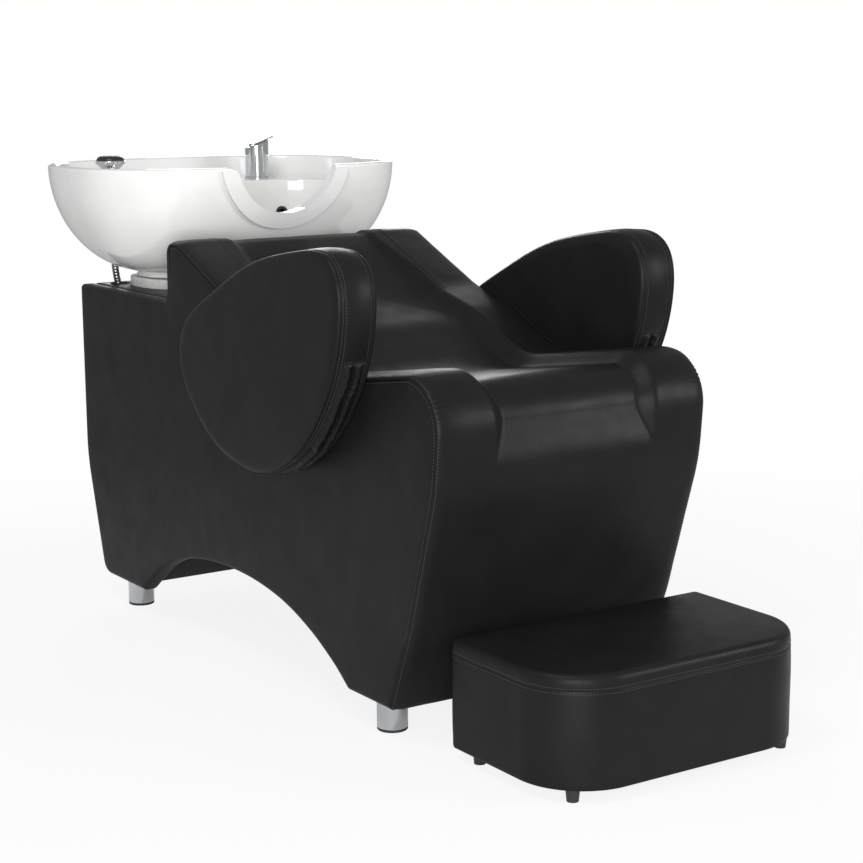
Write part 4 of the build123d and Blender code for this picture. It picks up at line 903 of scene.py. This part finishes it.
def round_loop(centre, radius, count, stretch=0):
    """A circle, or with a stretch a slot along its second axis."""
    a, b = centre
    spots = [(a + radius * x, b + radius * y + (stretch if y > 0 else -stretch)) for x, y in circle(count)]
    return np.array(spots)


def build_shelf():
    """Leather covered shelf between the side panels, with holes for the waste and the hose."""
    corners = [(way * SHELF_HALF, SHELF_REAR) for way in SIDES]
    corners += [(-way * SHELF_HALF, SHELF_FRONT) for way in SIDES]
    outline = evenly(rounded(corners, [SHELF_RADIUS] * 4, closed=True), SHELF_STEP)
    holes = [round_loop(WASTE_HOLE, WASTE_RADIUS, WASTE_SIDES, WASTE_STRETCH)]
    holes += [round_loop(spot, HOSE_HOLE_RADIUS, HOSE_HOLE_SIDES) for spot in HOSE_HOLES]

    def place(a, b, depth):
        return at(a, b, SHELF - depth)

    def rise(a, b, far):
        return SHELF_WAVE * uneven(a, b, SHELF_SEED, SHELF_WAVE_SIZE) - SHELF_SAG

    mesh = board(outline, SHELF_PROFILE, SHELF_GAP, place, rise, holes)
    dress(new_object("rear_shelf_cover", *mesh, LEATHER), "seat", "black_leather", "rear_shelf")


build_shelf()

# Armrests
ARM_CORNERS = (
    (1127.7, 787.7), (1102, 589.8), (985.6, 443.1), (849.9, 389.8),
    (689.9, 417.9), (568.3, 529.8), (578.6, 618), (839.7, 741.7),
)
ARM_RADII = (60, 259, 259, 111, 148, 57.8, 57.8, 400)
ARM_GAP, ARM_DEPTH, ARM_STEP, ARM_SOFTNESS = 0.3, 72.4, 2.0, 40
# Insets and depths of the edge from the outer face over the gusset, with its belly, to the inner face
GUSSET_INSET, BELLY, BELLY_START, BELLY_SPAN, BELLY_STEPS = 0.2, 1.9, 18, 42, (20, 59, 1.3)
ARM_RINGS = [
    (30, -0.6), (20, -0.4), (12, 0), (7, 0.6), (4, 1.5), (2.2, 2.8), (1.2, 4.2), (0.5, 5.8), (0.9, 7.2),
    (1.9, 8.2), (1, 9.4), (0.5, 11.2), (0.9, 12.8), (1.9, 13.8), (1, 15), (0.4, 17), (GUSSET_INSET, 18.6),
]
for deep in np.arange(*BELLY_STEPS):
    ARM_RINGS.append((GUSSET_INSET - BELLY * sin(pi * (deep - BELLY_START) / BELLY_SPAN), deep))
ARM_RINGS += [(0.6, 60.4), (1.4, 62), (2.6, 63.2), (1.4, 64.6), (1.6, 67), (3.2, 70), (6, 72.2), (8, 72.95)]
FACE_CAP = (
    (0.95, -0.8), (0.88, -1.1), (0.78, -1.5), (0.66, -2.0), (0.52, -2.4), (0.36, -2.7), (0.18, -2.9), (0, -3),
)
BACK_CAP = [(share, ARM_RINGS[-1][1]) for share in (0.9, 0.6, 0.3, 0)]

# Fold along the gusset: where it runs and fades, its groove, lips, ragged edge and gathers, the cross seam
FOLD_START, FOLD_END, FOLD_IN, FOLD_OUT = (1104, 600), (858, 393), 12, 60
FACE_DEPTH, GUSSET_START, GUSSET_END, FOLD_MIDDLE = 2, 19, 60, 39
LONG_WANDER, SHORT_WANDER = (5.5, 46), (3.4, 12)
GROOVE_DEPTH, GROOVE_WIDTH, GROOVE_WAVE = 9, 3.0, (1.2, 22)
LIP_HEIGHT, LIP_AWAY, LIP_WIDTH = 5.6, 9.5, 5
RAG_HEIGHT, RAG_WAVE, RAG_AWAY, RAG_WIDTH = 3.0, (3.2, 7), 5, 1.5
TUCK_WAVE, TUCK_WIDTH = (2.2, 9), 12
CROSS_DEPTH, CROSS_WIDTH, RIDGE_AWAY, RIDGE_WIDTH = 1.5, 1.8, 4, 2
SOFT_WAVE, SOFT_SIZE, SOFT_SHARE, SOFT_SEED = 0.5, 40, 0.4, 50
LONG_SEED, SHORT_SEEDS, GROOVE_SEEDS, RAG_SEEDS, TUCK_SEEDS = 9, (5, 3), (40, 0), (0, 60), (80, 0)
STITCH_ROWS = ((10.8, 0.5), (16.6, 0.4), (59.5, 0.6))
CROSS_ROWS, CROSS_ROW_DEPTHS = (-3, 3), range(20, 59, 3)


def fold_wave(place, wave, *seeds):
    """Unevenness along the fold, from a height and a size."""
    return wave[0] * uneven(place, *seeds, wave[1])


def fold_relief(place, depth, way):
    """Height of the gusset's fold over the plain gusset."""
    wander = fold_wave(place, LONG_WANDER, way * LONG_SEED, 0)
    wander += fold_wave(place, SHORT_WANDER, SHORT_SEEDS[0], way * SHORT_SEEDS[1])
    apart = depth - FOLD_MIDDLE - wander
    groove = -GROOVE_DEPTH * bell(apart, GROOVE_WIDTH + fold_wave(place, GROOVE_WAVE, *GROOVE_SEEDS))
    lips = LIP_HEIGHT * bell(abs(apart) - LIP_AWAY, LIP_WIDTH)
    ragged = (RAG_HEIGHT + fold_wave(place, RAG_WAVE, *RAG_SEEDS)) * bell(apart - RAG_AWAY, RAG_WIDTH)
    return groove + lips + ragged + fold_wave(place, TUCK_WAVE, *TUCK_SEEDS) * bell(apart, TUCK_WIDTH)


def build_armrest(hand, way):
    """Teardrop armrest with a gusset between two seams, folded and gathered towards its foot."""
    fine = evenly(rounded(ARM_CORNERS, ARM_RADII, closed=True), ARM_STEP)
    outline = evenly(softened(fine, ARM_SOFTNESS), ARM_STEP)
    run = lengths(np.concatenate([outline, outline[:1]]))[:-1]

    def nearest(spot):
        return run[np.hypot(outline[:, 0] - spot[0], outline[:, 1] - spot[1]).argmin()]

    first, last = sorted((nearest(FOLD_START), nearest(FOLD_END)))
    stops = [0, first - 1, first + FOLD_IN, last - FOLD_OUT, last, run[-1] + 1]
    window = ease(run, stops, [0, 0, 1, 1, 0, 0])

    def push(step, depth):
        if depth < FACE_DEPTH:
            return 0.0
        soft = SOFT_WAVE * uneven(depth + way * SOFT_SEED, *outline[step], SOFT_SIZE)
        if not GUSSET_START < depth < GUSSET_END:
            return soft * SOFT_SHARE
        past = run[step] - first
        cross = bell(past - RIDGE_AWAY, RIDGE_WIDTH) - CROSS_DEPTH * bell(past, CROSS_WIDTH)
        return soft + window[step] * fold_relief(run[step], depth, way) + cross

    def place(a, b, depth):
        return at(way * (HALF + ARM_GAP + ARM_DEPTH - depth), a, b)

    mesh = shell(outline, ARM_RINGS, (FACE_CAP, BACK_CAP), place, push)
    made = new_object(f"armrest_{hand}", *mesh, LEATHER)
    dress(made, "seat", "black_leather", f"armrest_pad_{hand}")
    rows = []
    for depth, inset in STITCH_ROWS:
        loop = [place(*spot, depth) for spot in outline - outward(outline) * inset]
        rows.append(loop + loop[:1])
    turn = outline[np.abs(run - first).argmin()]
    rows += [[place(turn[0], turn[1] + off, depth) for depth in CROSS_ROW_DEPTHS] for off in CROSS_ROWS]
    sew(f"armrest_{hand}_stitches", rows, surface_of(made), "seat")


for hand, way in HANDS.items():
    build_armrest(hand, way)

# Footstool
STOOL_CORNERS = ((-209, 1232), (281, 1232), (281, 1522), (-209, 1522))
STOOL_RADII = (14, 14, 110, 110)
STOOL_TOP, STOOL_STEP, STOOL_GAP = 192.0, 3.5, 10
STOOL_SEAM, STOOL_ROWS = 24.0, (-4, 4)
STOOL_PROFILE = (
    (12, 0), (9.4, 0.3), (7, 1.1), (4.8, 2.4), (2.9, 4.4), (1.4, 7), (0.5, 10), (0.1, 13.5), (0, 17.5),
    (0.1, 21), (0.3, 23), (0.9, 23.9), (0.3, 24.8), (0, 27), (-0.4, 34), (-0.9, 48), (-1.3, 68), (-1.5, 92),
    (-1.4, 118), (-1.1, 140), (-0.9, 156), (-0.9, 166), (-0.7, 170), (0.3, 172), (2.2, 173),
)
# Waves of the sides as a share of the way from the middle, where they fade, and the lean of the left side
WAVE_SHARE, WAVE_SIZE, WAVE_SEED = 0.0042, 75, 2.0
WAVE_IN, WAVE_END, WAVE_OUT = 10, 150, 20
LEAN_TOP, LEAN_LOSS = 4.5, 2.5
TOP_SWELL, TOP_SWELL_LENGTH = 3.6, 45
TOP_WAVE, TOP_WAVE_SIZE, TOP_WAVE_SEED, TOP_WAVE_IN = 0.9, 80, 3.0, 25


def build_stool():
    """Footstool cover in one skin, with a stitched seam round it below the top edge."""
    outline = evenly(rounded(STOOL_CORNERS, STOOL_RADII, closed=True), STOOL_STEP)
    middle = (outline.min(0) + outline.max(0)) / 2

    def place(a, b, depth):
        share = min(1, max(0, (WAVE_END - depth) / WAVE_OUT)) * min(1, max(0, depth / WAVE_IN))
        grow = 1 + WAVE_SHARE * share * uneven(a, b, depth, WAVE_SIZE, WAVE_SEED)
        lean = LEAN_TOP - LEAN_LOSS * depth / STOOL_TOP
        lean *= min(0, (a - middle[0]) / (middle[0] - STOOL_CORNERS[0][0]))
        side, distance = middle + (np.array((a, b)) - middle) * grow
        return at(side + lean, distance, STOOL_TOP - depth)

    def rise(a, b, far):
        wave = TOP_WAVE * uneven(a, b, 0, TOP_WAVE_SIZE, TOP_WAVE_SEED) * min(1, far / TOP_WAVE_IN)
        return TOP_SWELL * (1 - np.exp(-far / TOP_SWELL_LENGTH)) + wave

    mesh = board(outline, STOOL_PROFILE, STOOL_GAP, place, rise)
    made = new_object("stool_cover", *mesh, LEATHER)
    dress(made, "footstool", "black_leather", "stool_body", "stool_pad")
    rows = []
    for off in STOOL_ROWS:
        loop = [place(*spot, STOOL_SEAM + off) for spot in outline]
        rows.append(loop + loop[:1])
    sew("stool_stitches", rows, surface_of(made), "footstool")


build_stool()

# Domed bezel round the hand shower's dark face: shares of the face's radius, out from its axis and up
BEZEL_SHARES = (
    (1.00, -0.1), (1.05, 0.0), (1.05, 0.06), (1.02, 0.13), (0.97, 0.18), (0.9, 0.21), (0.84, 0.215),
    (0.8, 0.2), (0.79, 0.15), (0.8, -0.1),
)
BEZEL_LIFT, BEZEL_SIDES = 0.001, 72


def build_bezel():
    """Chrome bezel standing round the dark face."""
    low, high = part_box("shower_face")
    radius = (high[0] - low[0]) / 2
    middle = Vector(((low[0] + high[0]) / 2, (low[1] + high[1]) / 2, low[2] + BEZEL_LIFT))
    verts = []
    for out, up in BEZEL_SHARES:
        verts += [middle + radius * Vector((out * x, out * y, up)) for x, y in circle(BEZEL_SIDES)]
    faces = ring_faces(len(BEZEL_SHARES), BEZEL_SIDES)
    dress(new_object("shower_bezel", verts, faces, FINISHES["chrome"]), "hand_shower", "chrome")


build_bezel()


# Finishes of the solids that show
def finish_nodes():
    """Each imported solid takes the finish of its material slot."""
    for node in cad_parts.values():
        for index, old in enumerate(node.data.materials):
            key = next((slot for slot in FINISHES if old and old.name.startswith(slot)), None)
            if key:
                node.data.materials[index] = FINISHES[key]
            else:
                print("no finish for", node.name, old and old.name)


finish_nodes()


# Studio, in metres
AMBIENT, MIRRORED_WORLD = 0.36, 0.05
FLOOR_REACH, FLOOR_DARK, FLOOR_LIGHT = 2.4, (0.9, 0.9, 0.9), (0.92, 0.92, 0.92)
FLOOR_GLOW, MIRRORED_FLOOR, FLOOR_FADE = 0.86, 0.2, (1.1, 2.1)
FLOOR_ROUGHNESS, FLOOR_SPECULAR, FLOOR_SCALE = 0.9, 0.2, 3
# Name, place, height of the aim, size and power of each lamp
LAMPS = (
    ("key", (-2.4, -3.3, 0.9), 0.55, 2.0, 128),
    ("fill", (2.3, -3.0, 1.4), 0.5, 1.1, 52),
    ("rear", (1.6, 2.9, 1.5), 0.6, 1.2, 30),
    ("top", (-1.4, -0.8, 3.0), 0.4, 0.8, 26),
)


def calculated(tree, operation, value, other):
    """The result of a sum of two values."""
    return wired(tree, "Math", "Value", {0: value, 1: other}, operation=operation)


def seen_directly(tree, strength, mirrored):
    """A strength for rays from the camera or through glass, a share of it in mirrors, 0 for others."""
    path = tree.nodes.new("ShaderNodeLightPath").outputs
    total = calculated(tree, "MULTIPLY", path["Is Glossy Ray"], mirrored)
    for name in ("Is Camera Ray", "Is Transmission Ray"):
        total = calculated(tree, "MAXIMUM", total, path[name])
    return calculated(tree, "MULTIPLY", total, strength)


def build_floor():
    """Wide pale floor that keeps the shadow, shows as white and fades out towards its edge."""
    mesh = bpy.data.meshes.new("floor")
    corners = [(x * FLOOR_REACH, y * FLOOR_REACH, 0) for x, y in ((-1, -1), (1, -1), (1, 1), (-1, 1))]
    mesh.from_pydata(corners, [], [(0, 1, 2, 3)])
    floor = placed("floor", mesh)
    made, tree, shader, coordinates = blank("floor", FLOOR_ROUGHNESS, specular=FLOOR_SPECULAR)
    tone = noisy(tree, coordinates, FLOOR_SCALE)
    tree.links.new(blended(tree, tone, FLOOR_DARK, FLOOR_LIGHT), shader.inputs["Base Color"])
    glow = wired(tree, "Emission", "Emission", {"Color": (1, 1, 1, 1)})
    share = seen_directly(tree, FLOOR_GLOW, MIRRORED_FLOOR)
    near = wired(tree, "MixShader", "Shader", {0: share, 1: shader.outputs["BSDF"], 2: glow})
    apart = wired(tree, "VectorMath", "Value", {0: coordinates}, operation="LENGTH")
    clear = wired(tree, "BsdfTransparent", "BSDF", {})
    faded = {0: ranged(tree, apart, 0, 1, FLOOR_FADE), 1: near, 2: clear}
    tree.links.new(wired(tree, "MixShader", "Shader", faded), tree.nodes["Material Output"].inputs["Surface"])
    mesh.materials.append(made)


def set_world():
    """White behind everything, and a lower even light from all round."""
    world = bpy.data.worlds.new("studio")
    world.use_nodes = True
    tree = world.node_tree
    background = tree.nodes["Background"]
    background.inputs["Color"].default_value = (1, 1, 1, 1)
    share = seen_directly(tree, 1 - AMBIENT, MIRRORED_WORLD)
    tree.links.new(calculated(tree, "ADD", share, AMBIENT), background.inputs["Strength"])
    bpy.context.scene.world = world


def lamp(name, place, aim, size, energy):
    """A large soft lamp that looks at a height over the middle of the floor."""
    data = bpy.data.lights.new(name, "AREA")
    data.shape = "SQUARE"
    data.size = size
    data.energy = energy
    made = placed(name, data)
    made.location = place
    made.rotation_mode = "QUATERNION"
    made.rotation_quaternion = (Vector((0, 0, aim)) - Vector(place)).to_track_quat("-Z", "Y")


build_floor()
set_world()
for values in LAMPS:
    lamp(*values)
bpy.context.scene.view_settings.view_transform = "Standard"
